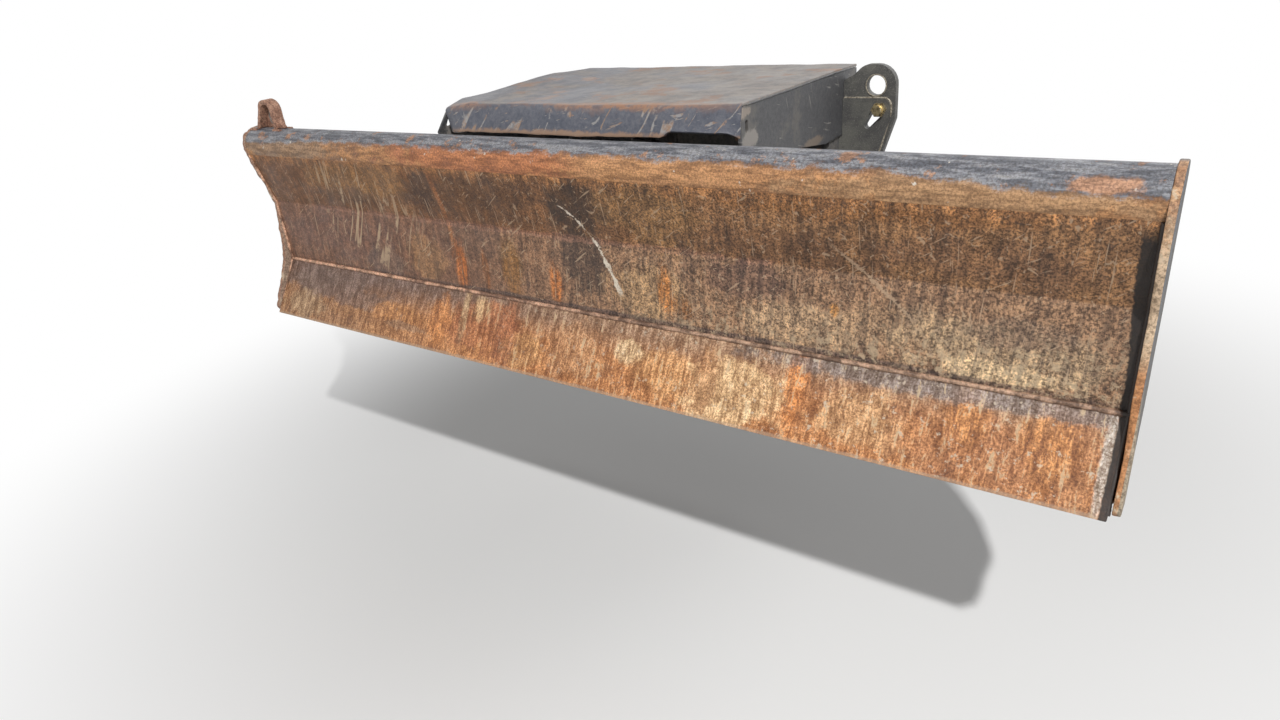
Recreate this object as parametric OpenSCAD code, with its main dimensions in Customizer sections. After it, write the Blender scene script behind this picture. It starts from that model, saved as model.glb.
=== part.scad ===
// Dozer blade on a parallel lift linkage with two lift cylinders, and the bolt-on
// bracket that carries them under a folded sheet cover.
// The origin is the middle of the bolt pattern on the bracket's rear face. +Y points
// back through that face, the blade's face looks along -Y, +Z is up. Millimetres.

/* [Blade] */
// Overall width of the blade over its end plates
blade_w = 2550; // [2250:10:2800]
// Thickness of the end plates
end_t = 14; // [12:1:30]
// How far the end plates stand out round the tube
end_lap = 4; // [2:1:8]
// Outside diameter of the top tube
tube_d = 112; // [96:1:120]
// Wall of the top tube
tube_wall = 10; // [5:1:16]
// Height of the tube's centre over the cutting edge
tube_z = 548; // [530:1:570]
// Distance of the tube's centre behind the cutting edge
tube_y = 110; // [100:1:120]
// Thickness of the mouldboard
board_t = 12; // [8:1:16]
// Distance of the mouldboard's upright part behind the cutting edge
board_y = 106; // [104:1:112]
// Height of the bend where the mouldboard leans forward to the tube
bend_z = 362; // [340:1:380]
// Height of the fold between mouldboard and lower plate
fold_z = 163; // [150:1:175]
// Distance of the fold behind the cutting edge
fold_y = 104; // [98:1:106]
// Thickness of the lower plate
lower_t = 25; // [16:1:30]
// Thickness of the folded plate of the back beam
beam_t = 10; // [6:1:14]
// Distance of the back beam's rear wall behind the cutting edge
beam_y = 205; // [190:1:208]
// Thickness of the stiffening ribs
rib_t = 10; // [6:1:16]

/* [Corner loop] */
// Distance of the corner loop's upright leg from the blade's left end
loop_in = 153; // [150:1:175]
// Width of the corner loop at its foot
loop_w = 137; // [120:1:145]
// Height of the corner loop over the tube
loop_h = 88; // [80:1:95]
// Radius of the corner loop's round top
loop_r = 38; // [32:1:42]
// Depth of the corner loop's band, along Y
loop_d = 36; // [30:1:60]
// Thickness of the corner loop's band
loop_t = 14; // [10:1:16]
// Thickness of the plate behind the corner loop
loop_back_t = 6; // [4:1:10]

/* [Lift linkage] */
// Length of the lower arms between their pins
arm_len = 620; // [600:1:640]
// Angle of the raised arms above level
rest_angle = 33.5; // [32:0.5:35]
// Distance of the lower pins in front of the mounting face
pivot_y = 91; // [85:1:100]
// Distance of the lower pins below the middle of the bolt pattern
pivot_drop = 350; // [340:1:360]
// Sideways distance of arms and upper links from the middle
arm_x = 368; // [360:1:380]
// Width of an arm
arm_w = 100; // [80:1:110]
// Thickness of an arm's side plates
arm_plate = 16; // [10:1:20]
// How far an arm's side plates stand past its top and bottom plates
arm_lap = 8; // [4:1:12]
// Length of the bosses on arms, links and their seats
boss_w = 126; // [120:1:130]
// Radius of the arms' bosses
arm_boss_r = 50; // [45:1:52]
// Diameter of the lower pins
arm_pin_d = 60; // [50:1:66]
// Height of the lower blade pins over the cutting edge
ear_z = 178; // [170:1:190]
// Distance of the lower blade pins behind the beam's rear wall
ear_gap = 57; // [57:1:65]
// Height of the upper pins over the lower pins
link_rise = 225; // [215:1:235]
// Distance of the upper pins in front of the lower pins
link_lead = 40; // [30:1:45]
// Radius of the upper links' bosses
link_boss_r = 40; // [36:1:44]
// Width of an upper link
link_w = 50; // [40:1:60]
// Depth of an upper link
link_h = 56; // [44:1:64]
// Diameter of the upper pins
link_pin_d = 45; // [36:1:50]
// Outside diameter of the cross tube between the arms
cross_d = 104; // [90:1:108]
// Wall of the cross tube
cross_wall = 12; // [6:1:16]
// Distance of the cross tube from the lower pins, along the arms
cross_u = 418; // [414:1:425]
// Distance of the cross tube below the line between the arms' pins
cross_sag = 34; // [30:1:40]
// Wall of plate round the pins in ears and towers
ear_wall = 28; // [20:1:32]
// Thickness of the keeper plates on the pins
keeper_t = 10; // [6:1:12]

/* [Lift cylinders] */
// Sideways distance of the cylinders from the middle
cyl_x = 190; // [170:1:200]
// Height of the upper cylinder pins over the middle of the bolt pattern
top_pin_z = 320; // [300:1:330]
// Distance of the upper cylinder pins in front of the mounting face
top_pin_y = 85; // [84:1:95]
// Distance of the rod pins from the lower arm pins, along the arms
rod_pin_u = 280; // [270:1:284]
// Distance of the rod pins below the line between the arms' pins
rod_pin_sag = 50; // [40:1:60]
// Outside diameter of the barrels
barrel_d = 96; // [84:1:100]
// Wall of the barrels
barrel_wall = 8; // [5:1:12]
// Diameter of the piston rods
rod_d = 50; // [40:1:54]
// Radius of the eyes at both ends of a cylinder
eye_r = 42; // [38:1:44]
// Width of the eyes
eye_w = 60; // [50:1:66]
// Diameter of the cylinders' pins
cyl_pin_d = 45; // [36:1:48]
// Distance from the rod's eye to the gland's front face, fully in
gland_gap = 96; // [90:1:105]
// Length of the gland
gland_len = 34; // [24:1:44]
// Distance from the upper pins to the barrels' base caps
cap_gap = 60; // [56:1:70]
// Thickness of the barrels' base caps
cap_t = 22; // [14:1:30]
// Radius of the oil ports' bosses
port_r = 17; // [14:1:20]
// Thickness of the forks' plates on the cross tube
fork_t = 18; // [12:1:22]

/* [Bracket] */
// Height of the base plate's top over the upper cylinder pins
base_over = 150; // [135:1:152]
// Height of the base plate's foot below the lower pins
base_under = 80; // [72:1:90]
// Thickness of the base plate
base_t = 25; // [16:1:28]
// Thickness of the outer cheeks
cheek_t = 16; // [12:1:20]
// Thickness of the inner cheeks and of the blade's tower plates
tower_t = 22; // [16:1:26]
// Distance of the outer cheeks' front edge from the mounting face, at the top
cheek_front = 180; // [170:1:190]
// Thickness of the cylinders' ear plates
ear_t = 20; // [14:1:22]
// Thickness of the shelves between the cheeks
shelf_t = 12; // [8:1:16]
// Distance of the top shelf's underside below the base plate's top
shelf_drop = 45; // [38:1:50]
// Depth of the bottom shelf in front of the base plate
shelf_depth = 70; // [50:1:80]
// Diameter of the mounting bolts' holes
bolt_hole_d = 26; // [22:1:30]
// Distance of the outer bolts from the base plate's sides
bolt_side = 80; // [70:1:95]
// Distance of the outer bolts from the base plate's foot
bolt_edge = 30; // [26:1:36]
// Spacing of the inner mounting bolts, both ways
bolt_inner = 430; // [400:2:440]

/* [Lug plate] */
// Thickness of the lug plate
lug_t = 20; // [14:1:24]
// Distance of the lug plate's front face from the mounting face
lug_front = 110; // [100:1:120]
// Distance of the lug's eye outside the outer cheek
lug_out = 96; // [90:1:106]
// Distance of the lug's eye below the base plate's top
lug_drop = 31; // [24:1:40]
// Radius of the lug's round top
lug_r = 52; // [46:1:56]
// Diameter of the lug's eye
lug_eye_d = 50; // [40:1:56]
// Thickness of the doubler in front of the lug plate
doubler_t = 8; // [5:1:12]

/* [Cover] */
// Thickness of the cover's sheet
sheet_t = 6; // [4:1:8]
// Height of the cover's top over the base plate's top
cover_rise = 14; // [12:1:20]
// Distance of the cover's rear edge from the mounting face
cover_back = 20; // [10:1:30]
// Distance of the cover's front ridge from the mounting face
ridge_y = 670; // [650:1:675]
// How far the front lip leans forward from the ridge
lip_run = 25; // [15:1:27]
// Height of the front lip
lip_drop = 77; // [70:1:86]
// How far the lip's corners are cut, sideways
corner_w = 34; // [24:1:44]
// How far the lip's corners fall back
corner_back = 12; // [8:1:16]
// Thickness of the cover's side plates
side_t = 8; // [5:1:10]
// Depth of the cover's side plates below its top, at their lowest
side_drop = 174; // [168:1:180]

/* [Hidden] */
$fn = 64;
// Clearance of a pin in its bore, all round
fit = 0.05;
// Gap that is left at a welded seam
seam = 0.3;
// Side play of a boss between its ears
play = 3;
// Keeps the straight sides of a strap just inside its round ends
tuck = 0.05;
// How far a cutting shape runs past what it cuts
over = 1;
// How far a pin stands out on the side away from its keeper plate
pin_stub = 8;
// Number of flats on a rounded corner of an outline
corner_steps = 8;

half_w = blade_w / 2;
inner_half = half_w - end_t;
tube_r = tube_d / 2;
low_ear = [beam_y + ear_gap, ear_z];
link_step = [-link_lead, link_rise];
high_ear = low_ear + link_step;
pivot = [-pivot_y, -pivot_drop];
link_pivot = pivot + link_step;
lean = [cos(rest_angle), sin(rest_angle)];
// The cutting edge's place in the bracket's frame, seen from the side
edge = pivot + [-arm_len * lean[0], arm_len * lean[1]] - low_ear;
cyl_top = [-top_pin_y, top_pin_z];
// The rod pin in the arm's frame, and in the bracket's frame at rest
arm_rod_pin = [-rod_pin_u, -rod_pin_sag];
rod_pin = pivot + turned(arm_rod_pin, -rest_angle);
cross_pin = [-cross_u, -cross_sag];
cyl_len = norm(rod_pin - cyl_top);
cyl_lean = atan2(cyl_top[0] - rod_pin[0], cyl_top[1] - rod_pin[1]);
barrel_end = cyl_len - gland_gap;
chamber = barrel_end - gland_len - cap_gap - cap_t;
slope_w = lower_t / sin(atan2(fold_z, fold_y));
arm_ear_r = arm_pin_d / 2 + ear_wall;
link_ear_r = link_pin_d / 2 + ear_wall;
cyl_ear_r = cyl_pin_d / 2 + ear_wall;
// Middle of the plates inside and outside an arm's bosses
seat_in = arm_x - boss_w / 2 - play - tower_t / 2;
seat_out = arm_x + boss_w / 2 + play + tower_t / 2;
cheek_x = arm_x + boss_w / 2 + play + cheek_t / 2;
half_bracket = cheek_x + cheek_t / 2;
base_top = top_pin_z + base_over;
base_foot = -pivot_drop - base_under;
cover_z = base_top + cover_rise;
ear_dx = eye_w / 2 + play + ear_t / 2;
fork_dx = eye_w / 2 + play + fork_t / 2;

function unit(v) = v / norm(v);
function right(v) = [v[1], -v[0]];
function turned(v, a) = [v[0] * cos(a) - v[1] * sin(a), v[0] * sin(a) + v[1] * cos(a)];
function mitre(a, b) = (a + b) / (1 + a * b);
function leg(a, b) = right(unit(b - a));
function reversed(p) = [for (i = [len(p) - 1 : -1 : 0]) p[i]];

// The open path p moved to its right by t, with mitred corners
function moved(p, t) = [
    for (i = [0 : len(p) - 1])
        p[i] + t * (i == 0 ? leg(p[0], p[1])
            : i == len(p) - 1 ? leg(p[i - 1], p[i])
            : mitre(leg(p[i - 1], p[i]), leg(p[i], p[i + 1])))
];

// Outline of a folded plate of thickness t whose outer face follows the path p
function folded(p, t) = concat(p, reversed(moved(p, t)));

// The closed outline p moved to its right by t
function grown(p, t) = [
    for (i = [0 : len(p) - 1])
        let (before = p[(i + len(p) - 1) % len(p)], after = p[(i + 1) % len(p)])
            p[i] + t * mitre(leg(before, p[i]), leg(p[i], after))
];

// The arc of radius r that rounds the corner p between its neighbours a and b
function corner_arc(a, p, b, r) =
    let (
        u = unit(a - p), v = unit(b - p), w = acos(u * v),
        middle = p + unit(u + v) * r / sin(w / 2),
        first = p + u * r / tan(w / 2) - middle,
        turn = sign(cross(v, u)) * (180 - w) / corner_steps
    )
    [for (i = [0 : corner_steps]) middle + turned(first, i * turn)];

// Closed outline from a table whose columns are across, up and corner radius
function rounded(t) = [
    for (i = [0 : len(t) - 1])
        let (
            a = t[(i + len(t) - 1) % len(t)], p = t[i], b = t[(i + 1) % len(t)],
            corner = [p[0], p[1]]
        )
            each p[2] == 0 ? [corner] : corner_arc([a[0], a[1]], corner, [b[0], b[1]], p[2])
];

// Where a line from the point p touches the circle of radius r at c, on its left side
function touch_turn(p, c, r) = atan2(c[1] - p[1], c[0] - p[0]) + asin(r / norm(c - p));
function touch(p, c, r) =
    p + sqrt((c - p) * (c - p) - r * r) * [cos(touch_turn(p, c, r)), sin(touch_turn(p, c, r))];

// Draws a side view, Y to the right and Z up, as a slab of width w centred on x
module slab(x, w) {
    translate([x - w / 2, 0, 0]) rotate([90, 0, 90]) linear_extrude(w) children();
}

// Draws a front view, X to the right and Z up, as a plate of thickness t behind y
module front_plate(y, t) {
    translate([0, y + t, 0]) rotate([90, 0, 0]) linear_extrude(t) children();
}

// Draws a round bar along X, of radius r and width w, centred on x at the side view's point p
module bar(x, w, p, r) {
    translate([x - w / 2, p[0], p[1]]) rotate([0, 90, 0]) cylinder(r = r, h = w);
}

// Side view of a strap with round ends of radius r1 and r2 at the points a and b
module strap(a, r1, b, r2) {
    turn = atan2(b[1] - a[1], b[0] - a[0]);
    spread = acos((r1 - r2) / norm(b - a));
    up = [cos(turn + spread), sin(turn + spread)];
    down = [cos(turn - spread), sin(turn - spread)];
    translate(a) circle(r1);
    translate(b) circle(r2);
    n1 = r1 - tuck;
    n2 = r2 - tuck;
    polygon([a + n1 * up, b + n2 * up, b + n2 * down, a + n1 * down]);
}

// A pin of radius r through plates whose outer faces lie at x0 and x1, with a keeper
// plate and its bolt head at x1, which reach from the pin's centre p by the step away
module kept_pin(x0, x1, p, r, away, stub = pin_stub) {
    bolt_r = 12;
    bolt_h = 8;
    length = x1 - x0 + stub + keeper_t;
    bar(x0 - stub + length / 2, length, p, r);
    slab(x1 + keeper_t / 2, keeper_t) strap(p, r - tuck, p + away, 2 * bolt_r);
    bar(x1 + keeper_t + bolt_h / 2, bolt_h, p + away, bolt_r);
}

// Places what is drawn from the cutting edge
module on_blade() {
    translate([0, edge[0], edge[1]]) children();
}

// Places what is drawn from the lower pivot with the arms level
module on_arm() {
    translate([0, pivot[0], pivot[1]]) rotate([-rest_angle, 0, 0]) children();
}

// Places what is drawn from the upper links' pivot with the links level
module on_link() {
    translate([0, link_pivot[0], link_pivot[1]]) rotate([-rest_angle, 0, 0]) children();
}

// Places a cylinder that is drawn from its top pin, pointing down
module on_cylinder(x) {
    translate([x, cyl_top[0], cyl_top[1]]) rotate([-cyl_lean, 0, 0]) children();
}

module mirrored_x() {
    children();
    mirror([1, 0, 0]) children();
}

// The mouldboard's face rises from the fold, bends and meets the tube as a tangent
tangent = touch([board_y, bend_z], [tube_y, tube_z], tube_r);
board_path = [[board_y, fold_z], [board_y, bend_z], tangent];
lower_outline = [[0, 0], [fold_y, fold_z], [fold_y + slope_w, fold_z], [slope_w, 0]];
// The back beam is one folded plate from the mouldboard down to the lower plate's back
beam_drop = 27;
beam_fall = 40;
beam_lip = 12;
beam_top = bend_z - beam_drop;
beam_shoulder = beam_top - beam_fall;
beam_foot = 85;
beam_path = [[board_y, beam_top], [beam_y, beam_shoulder], [beam_y, beam_foot], [slope_w, beam_lip]];
// Everything in front of the mouldboard's back, for cutting what is welded behind it
front_y = -60;
board_front = concat(reversed(moved(board_path, board_t)), [[front_y, tangent[1]], [front_y, fold_z]]);

module board_section() {
    difference() {
        polygon(folded(board_path, board_t));
        translate([tube_y, tube_z]) circle(tube_r + seam);
    }
}

module beam_filled() {
    polygon(concat([[board_y, fold_z]], beam_path, [[0, 0]]));
}

module mouldboard() {
    color("sienna") on_blade() slab(0, 2 * inner_half) board_section();
}

module top_tube() {
    color("slategray") on_blade() difference() {
        bar(0, 2 * inner_half, [tube_y, tube_z], tube_r);
        bar(0, 2 * inner_half + 2 * over, [tube_y, tube_z], tube_r - tube_wall);
    }
}

module lower_plate() {
    color("peru") on_blade() slab(0, 2 * inner_half) polygon(lower_outline);
}

// The end plates run round the whole section, a little below the cutting edge. They stand
// out in front of the lower plate and run into the mouldboard's face at its bend.
// Their columns are the distance behind the cutting edge, the height and the radius.
end_r = tube_r + end_lap;
end_foot = -2;
end_table = [
    [-4, end_foot, 22],
    [board_y - 24, fold_z + 12, 250],
    [board_y - 2, bend_z - 12, 60],
    [tube_y - end_r - 16, tube_z + end_r, end_r - tuck],
    [tube_y + end_r, tube_z + end_r, end_r - tuck],
    [beam_y + 33, bend_z - 32, 150],
    [beam_y + 57, fold_z - 13, 120],
    [beam_y + 25, end_foot, 40]
];

module end_plate(x) {
    on_blade() slab(x, end_t) polygon(rounded(end_table));
}

module end_plate_left() {
    color("sienna") end_plate(-half_w + end_t / 2);
}

module end_plate_right() {
    color("sienna") end_plate(half_w - end_t / 2);
}

module back_beam() {
    color("slategray") on_blade() slab(0, 2 * inner_half) difference() {
        polygon(folded(beam_path, beam_t));
        polygon(board_front);
        polygon([[front_y, 0], [0, 0], [slope_w, 0], lower_outline[2], [front_y, fold_z]]);
    }
}

// The ribs stand on the beam and brace the mouldboard and the tube
rib_x = [-0.81, -0.58, 0, 0.58, 0.81] * inner_half;
rib_table = [
    [board_y, beam_top - 20, 0],
    [beam_y, beam_shoulder, 0],
    [beam_y - 12, beam_top - 5, 14],
    [tube_y + 36, tube_z - 44, 60],
    [tube_y + 36, tube_z, 0],
    [tube_y - 40, tube_z - 48, 0],
    [board_y, bend_z, 0]
];

module back_ribs() {
    color("slategray") on_blade() for (x = rib_x) slab(x, rib_t) difference() {
        polygon(rounded(rib_table));
        beam_filled();
        polygon(board_front);
        translate([tube_y, tube_z]) circle(tube_r + seam);
    }
}

// A tower plate carries a lower and an upper pin behind the beam
module tower_side() {
    difference() {
        union() {
            strap(low_ear, arm_ear_r, high_ear, link_ear_r);
            polygon(rounded([
                [board_y, beam_foot, 0],
                [low_ear[0], ear_z - arm_ear_r + over, 30],
                [high_ear[0], high_ear[1] + link_ear_r - tuck, 0],
                [board_y, high_ear[1] + link_ear_r - tuck, 0]
            ]));
        }
        beam_filled();
        polygon(board_front);
        translate(low_ear) circle(arm_pin_d / 2 + fit);
        translate(high_ear) circle(link_pin_d / 2 + fit);
    }
}

module tower_plates() {
    color("slategray") on_blade() mirrored_x()
        for (x = [seat_in, seat_out]) slab(x, tower_t) tower_side();
}

module blade_pins() {
    x0 = seat_in - tower_t / 2;
    x1 = seat_out + tower_t / 2;
    low_step = [-24, 64];
    high_step = [-50, -10];
    color("silver") on_blade() mirrored_x() {
        kept_pin(x0, x1, low_ear, arm_pin_d / 2, low_step);
        kept_pin(x0, x1, high_ear, link_pin_d / 2, high_step);
    }
}

// Front view of the corner loop: one upright leg, a round top and one slanting leg
loop_x = -half_w + loop_in;

module loop_front(grow) {
    r = loop_r + grow;
    c = [loop_x - loop_r, tube_z + tube_r + loop_h - loop_r];
    foot = [loop_x - loop_w - grow, tube_z];
    translate(c) circle(r);
    polygon([foot, touch(foot, c, r - tuck), c, c + [r, 0], [c[0] + r, tube_z]]);
}

module corner_loop() {
    front = tube_y - loop_d / 2;
    gusset = 26;
    foot_z = tube_z + tube_r + 4;
    color("saddlebrown") on_blade() difference() {
        union() {
            front_plate(front, loop_d) difference() {
                loop_front(0);
                loop_front(-loop_t);
            }
            front_plate(front + loop_d - loop_back_t, loop_back_t) loop_front(over - loop_t);
            front_plate(tube_y - loop_t / 2, loop_t) polygon([
                [loop_x - over, tube_z], [loop_x + gusset, tube_z], [loop_x + gusset, foot_z],
                [loop_x, foot_z + gusset], [loop_x - over, foot_z + gusset]
            ]);
        }
        bar(0, blade_w + 2 * over, [tube_y, tube_z], tube_r + seam);
    }
}

// Side view of a lower arm, pointing forward from its pivot at the origin: a box arm
// that is deepest where the cross tube and the rod forks pull on it
arm_table = [
    [0, 46, 0], [-0.40 * arm_len, 58, 400], [-0.77 * arm_len, 56, 200], [-arm_len, 46, 0],
    [-arm_len, -46, 0], [-0.80 * arm_len, -94, 60], [-0.53 * arm_len, -100, 160],
    [-0.32 * arm_len, -76, 160], [0, -46, 0]
];

module arm(x) {
    plate_dx = (arm_w - arm_plate) / 2;
    boss = (boss_w - arm_w) / 2;
    on_arm() difference() {
        union() {
            for (s = [-1, 1]) slab(x + s * plate_dx, arm_plate) polygon(rounded(arm_table));
            slab(x, arm_w - 2 * arm_plate) polygon(grown(rounded(arm_table), arm_lap));
            for (y = [0, -arm_len]) bar(x, boss_w, [y, 0], arm_boss_r);
        }
        for (y = [0, -arm_len]) bar(x, boss_w + 2 * over, [y, 0], arm_pin_d / 2 + fit);
    }
}

module arm_left() {
    color("dimgray") arm(-arm_x);
}

module arm_right() {
    color("dimgray") arm(arm_x);
}

module cross_tube() {
    w = 2 * arm_x - arm_w;
    color("dimgray") on_arm() difference() {
        bar(0, w, cross_pin, cross_d / 2);
        bar(0, w + 2 * over, cross_pin, cross_d / 2 - cross_wall);
    }
}

module rod_forks() {
    fork_r = cyl_ear_r - 4;
    color("dimgray") on_arm() mirrored_x()
        for (s = [-1, 1]) slab(cyl_x + s * fork_dx, fork_t) difference() {
            strap(arm_rod_pin, fork_r, cross_pin, cross_d / 2);
            translate(cross_pin) circle(cross_d / 2 + seam);
            translate(arm_rod_pin) circle(cyl_pin_d / 2 + fit);
        }
}

// The rod pins' ends in the forks; the middle of each pin stays in the rod's eye
module rod_pin_ends() {
    inner = eye_w / 2 + play;
    length = fork_t + pin_stub;
    keeper_step = [-20, 46];
    color("silver") on_arm() mirrored_x() {
        kept_pin(cyl_x + inner, cyl_x + inner + fork_t, arm_rod_pin, cyl_pin_d / 2, keeper_step, 0);
        bar(cyl_x - inner - length / 2, length, arm_rod_pin, cyl_pin_d / 2);
    }
}

// An upper link: a thick bar with a boss at each end
module link(x) {
    neck = link_boss_r / 2;
    on_link() difference() {
        union() {
            slab(x, link_w) polygon(rounded([
                [0, link_boss_r - 2, 0], [-link_boss_r - neck, link_h / 2, 60],
                [link_boss_r + neck - arm_len, link_h / 2, 60], [-arm_len, link_boss_r - 2, 0],
                [-arm_len, 2 - link_boss_r, 0], [link_boss_r + neck - arm_len, -link_h / 2, 60],
                [-link_boss_r - neck, -link_h / 2, 60], [0, 2 - link_boss_r, 0]
            ]));
            for (y = [0, -arm_len]) bar(x, boss_w, [y, 0], link_boss_r);
        }
        for (y = [0, -arm_len]) bar(x, boss_w + 2 * over, [y, 0], link_pin_d / 2 + fit);
    }
}

module link_left() {
    color("dimgray") link(-arm_x);
}

module link_right() {
    color("dimgray") link(arm_x);
}

// Draws a round bar along the cylinder's axis, from the distance d0 to d1 below its top pin
module turned_part(d0, d1, r) {
    translate([0, 0, -d1]) cylinder(r = r, h = d1 - d0);
}

module barrel(x) {
    barrel_r = barrel_d / 2;
    neck = eye_r - 8;
    port_out = barrel_r + 14;
    port_at = [cap_gap + cap_t + port_r + 4, barrel_end - gland_len - port_r - 8];
    head = 9;
    on_cylinder(x) difference() {
        union() {
            bar(0, eye_w, [0, 0], eye_r);
            translate([-eye_w / 2, -neck, -cap_gap - over]) cube([eye_w, 2 * neck, cap_gap + over]);
            turned_part(cap_gap, cap_gap + cap_t, barrel_r + 3);
            turned_part(cap_gap + cap_t, barrel_end, barrel_r);
            turned_part(barrel_end - gland_len, barrel_end - head, barrel_r + 6);
            turned_part(barrel_end - head, barrel_end, rod_d / 2 + 12);
            for (d = port_at) translate([0, 0, -d]) rotate([90, 0, 0]) cylinder(r = port_r, h = port_out);
        }
        bar(0, eye_w + 2 * over, [0, 0], cyl_pin_d / 2 + fit);
        turned_part(cap_gap + cap_t, cap_gap + cap_t + chamber, barrel_r - barrel_wall);
        turned_part(barrel_end - gland_len - over, barrel_end + over, rod_d / 2 + fit);
        for (d = port_at) translate([0, 0, -d]) rotate([90, 0, 0])
            cylinder(d = port_r, h = port_out + over);
    }
}

module barrel_left() {
    color("dimgray") barrel(-cyl_x);
}

module barrel_right() {
    color("dimgray") barrel(cyl_x);
}

module rod(x) {
    on_cylinder(x) {
        difference() {
            union() {
                turned_part(cap_gap + cap_t + 18, cyl_len, rod_d / 2);
                bar(0, eye_w, [0, -cyl_len], eye_r);
            }
            bar(0, eye_w + 2 * over, [0, -cyl_len], cyl_pin_d / 2 + fit);
        }
        bar(0, eye_w, [0, -cyl_len], cyl_pin_d / 2);
    }
}

module rod_left() {
    color("gainsboro") rod(-cyl_x);
}

module rod_right() {
    color("gainsboro") rod(cyl_x);
}

module base_plate() {
    corner_r = 20;
    bolt_x = half_bracket - bolt_side;
    bolt_z = -base_foot - bolt_edge;
    color("dimgray") front_plate(-base_t, base_t) difference() {
        polygon(rounded([
            [-half_bracket, base_foot, corner_r], [half_bracket, base_foot, corner_r],
            [half_bracket, base_top, 0], [-half_bracket, base_top, 0]
        ]));
        for (p = [[bolt_x, bolt_z], [bolt_inner / 2, bolt_inner / 2]], sx = [-1, 1], sz = [-1, 1])
            translate([sx * p[0], sz * p[1]]) circle(d = bolt_hole_d);
    }
}

// Cuts a side view off at the base plate's front face
module off_base() {
    reach = 100;
    difference() {
        children();
        translate([-base_t, base_foot - reach]) square([2 * reach, base_top - base_foot + 2 * reach]);
    }
}

// The two pin bosses of the linkage's seat, joined by plate, less their bores
module seat_side(outline) {
    off_base() difference() {
        union() {
            strap(pivot, arm_ear_r + 6, link_pivot, link_ear_r);
            polygon(rounded(outline));
        }
        translate(pivot) circle(arm_pin_d / 2 + fit);
        translate(link_pivot) circle(link_pin_d / 2 + fit);
    }
}

module cheeks() {
    outline = [
        [-base_t, base_top, 0],
        [-cheek_front, base_top, 0],
        [-cheek_front, link_pivot[1] + 325, 120],
        [link_pivot[0] - link_ear_r + over, link_pivot[1] + 50, 200],
        [link_pivot[0] - link_ear_r + over, link_pivot[1], 0],
        [pivot[0], pivot[1] - arm_ear_r - 5, 20],
        [-base_t, base_foot + 4, 0]
    ];
    color("dimgray") mirrored_x() slab(cheek_x, cheek_t) seat_side(outline);
}

module inner_cheeks() {
    outline = [
        [-base_t, link_pivot[1] + 145, 0],
        [link_pivot[0], link_pivot[1] + link_ear_r - over, 60],
        [link_pivot[0], link_pivot[1], 0],
        [pivot[0], pivot[1], 0],
        [pivot[0], pivot[1] - arm_ear_r - 5, 20],
        [-base_t, base_foot + 4, 0]
    ];
    color("dimgray") mirrored_x() slab(seat_in, tower_t) seat_side(outline);
}

module bracket_pins() {
    x0 = seat_in - tower_t / 2;
    low_step = [24, 64];
    high_step = [40, 36];
    color("silver") mirrored_x() {
        kept_pin(x0, half_bracket, pivot, arm_pin_d / 2, low_step);
        kept_pin(x0, half_bracket, link_pivot, link_pin_d / 2, high_step);
    }
}

module cylinder_ears() {
    reach = 24;
    color("dimgray") mirrored_x()
        for (s = [-1, 1]) slab(cyl_x + s * ear_dx, ear_t) off_base() difference() {
            union() {
                translate(cyl_top) circle(cyl_ear_r);
                polygon([
                    [-base_t, top_pin_z + cyl_ear_r + reach], cyl_top + [0, cyl_ear_r - tuck],
                    cyl_top - [0, cyl_ear_r - tuck], [-base_t, top_pin_z - cyl_ear_r - reach]
                ]);
            }
            translate(cyl_top) circle(cyl_pin_d / 2 + fit);
        }
}

module cylinder_pins() {
    outer = ear_dx + ear_t / 2;
    keeper_step = [10, -46];
    color("silver") mirrored_x()
        kept_pin(cyl_x - outer, cyl_x + outer, cyl_top, cyl_pin_d / 2, keeper_step);
}

// The top shelf stiffens the cheeks under the cover, the bottom shelf the inner cheeks
module top_shelf() {
    w = 2 * (half_bracket - cheek_t);
    depth = cheek_front - shelf_t - base_t;
    color("dimgray") translate([-w / 2, -base_t - depth, base_top - shelf_drop]) cube([w, depth, shelf_t]);
}

module bottom_shelf() {
    w = 2 * (seat_in - tower_t / 2);
    color("dimgray") translate([-w / 2, -base_t - shelf_depth, base_foot + 2 * shelf_t])
        cube([w, shelf_depth, shelf_t]);
}

// The lug plate stands square on the right cheek. Above the cover's lower rim it clears
// the cover's side plate. Columns: distance outside the cheek, height, radius.
lug_z = base_top - lug_drop;
rim_z = cover_z - side_drop - 2;
cover_line = side_t + over;
lug_edge = lug_out + lug_r;
slot_top = [lug_out + 0.25 * lug_r, lug_z - 1.13 * lug_r];
slot_foot = [lug_out - 0.37 * lug_r, lug_z - 1.94 * lug_r];
lug_table = [
    [0, lug_z - 7.3 * lug_r, 0], [0, rim_z, 0], [cover_line, rim_z, 0],
    [cover_line, lug_z + 0.27 * lug_r, 8], [lug_out - 1.15 * lug_r, lug_z + 0.52 * lug_r, 20],
    [lug_out - 0.62 * lug_r, lug_z + lug_r, 0.8 * lug_r], [lug_edge, lug_z + lug_r, lug_r - tuck],
    [lug_edge, lug_z - 1.6 * lug_r, 30],
    [lug_out + 0.44 * lug_r, lug_z - 3.25 * lug_r, 60], [lug_out - 0.5 * lug_r, lug_z - 5.9 * lug_r, 60]
];
doubler_table = [
    [0, lug_z - 6.9 * lug_r, 0], [0, rim_z, 0], [cover_line, rim_z, 0],
    [cover_line, lug_z - 0.6 * lug_r, 0],
    [lug_out + 0.79 * lug_r, lug_z - 0.6 * lug_r, 22], [lug_out + 0.79 * lug_r, lug_z - 1.6 * lug_r, 30],
    [lug_out + 0.25 * lug_r, lug_z - 3.2 * lug_r, 60], [lug_out - 0.65 * lug_r, lug_z - 5.8 * lug_r, 60]
];

module slot() {
    strap(slot_top, 0.29 * lug_r, slot_foot, 0.15 * lug_r);
}

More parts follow.
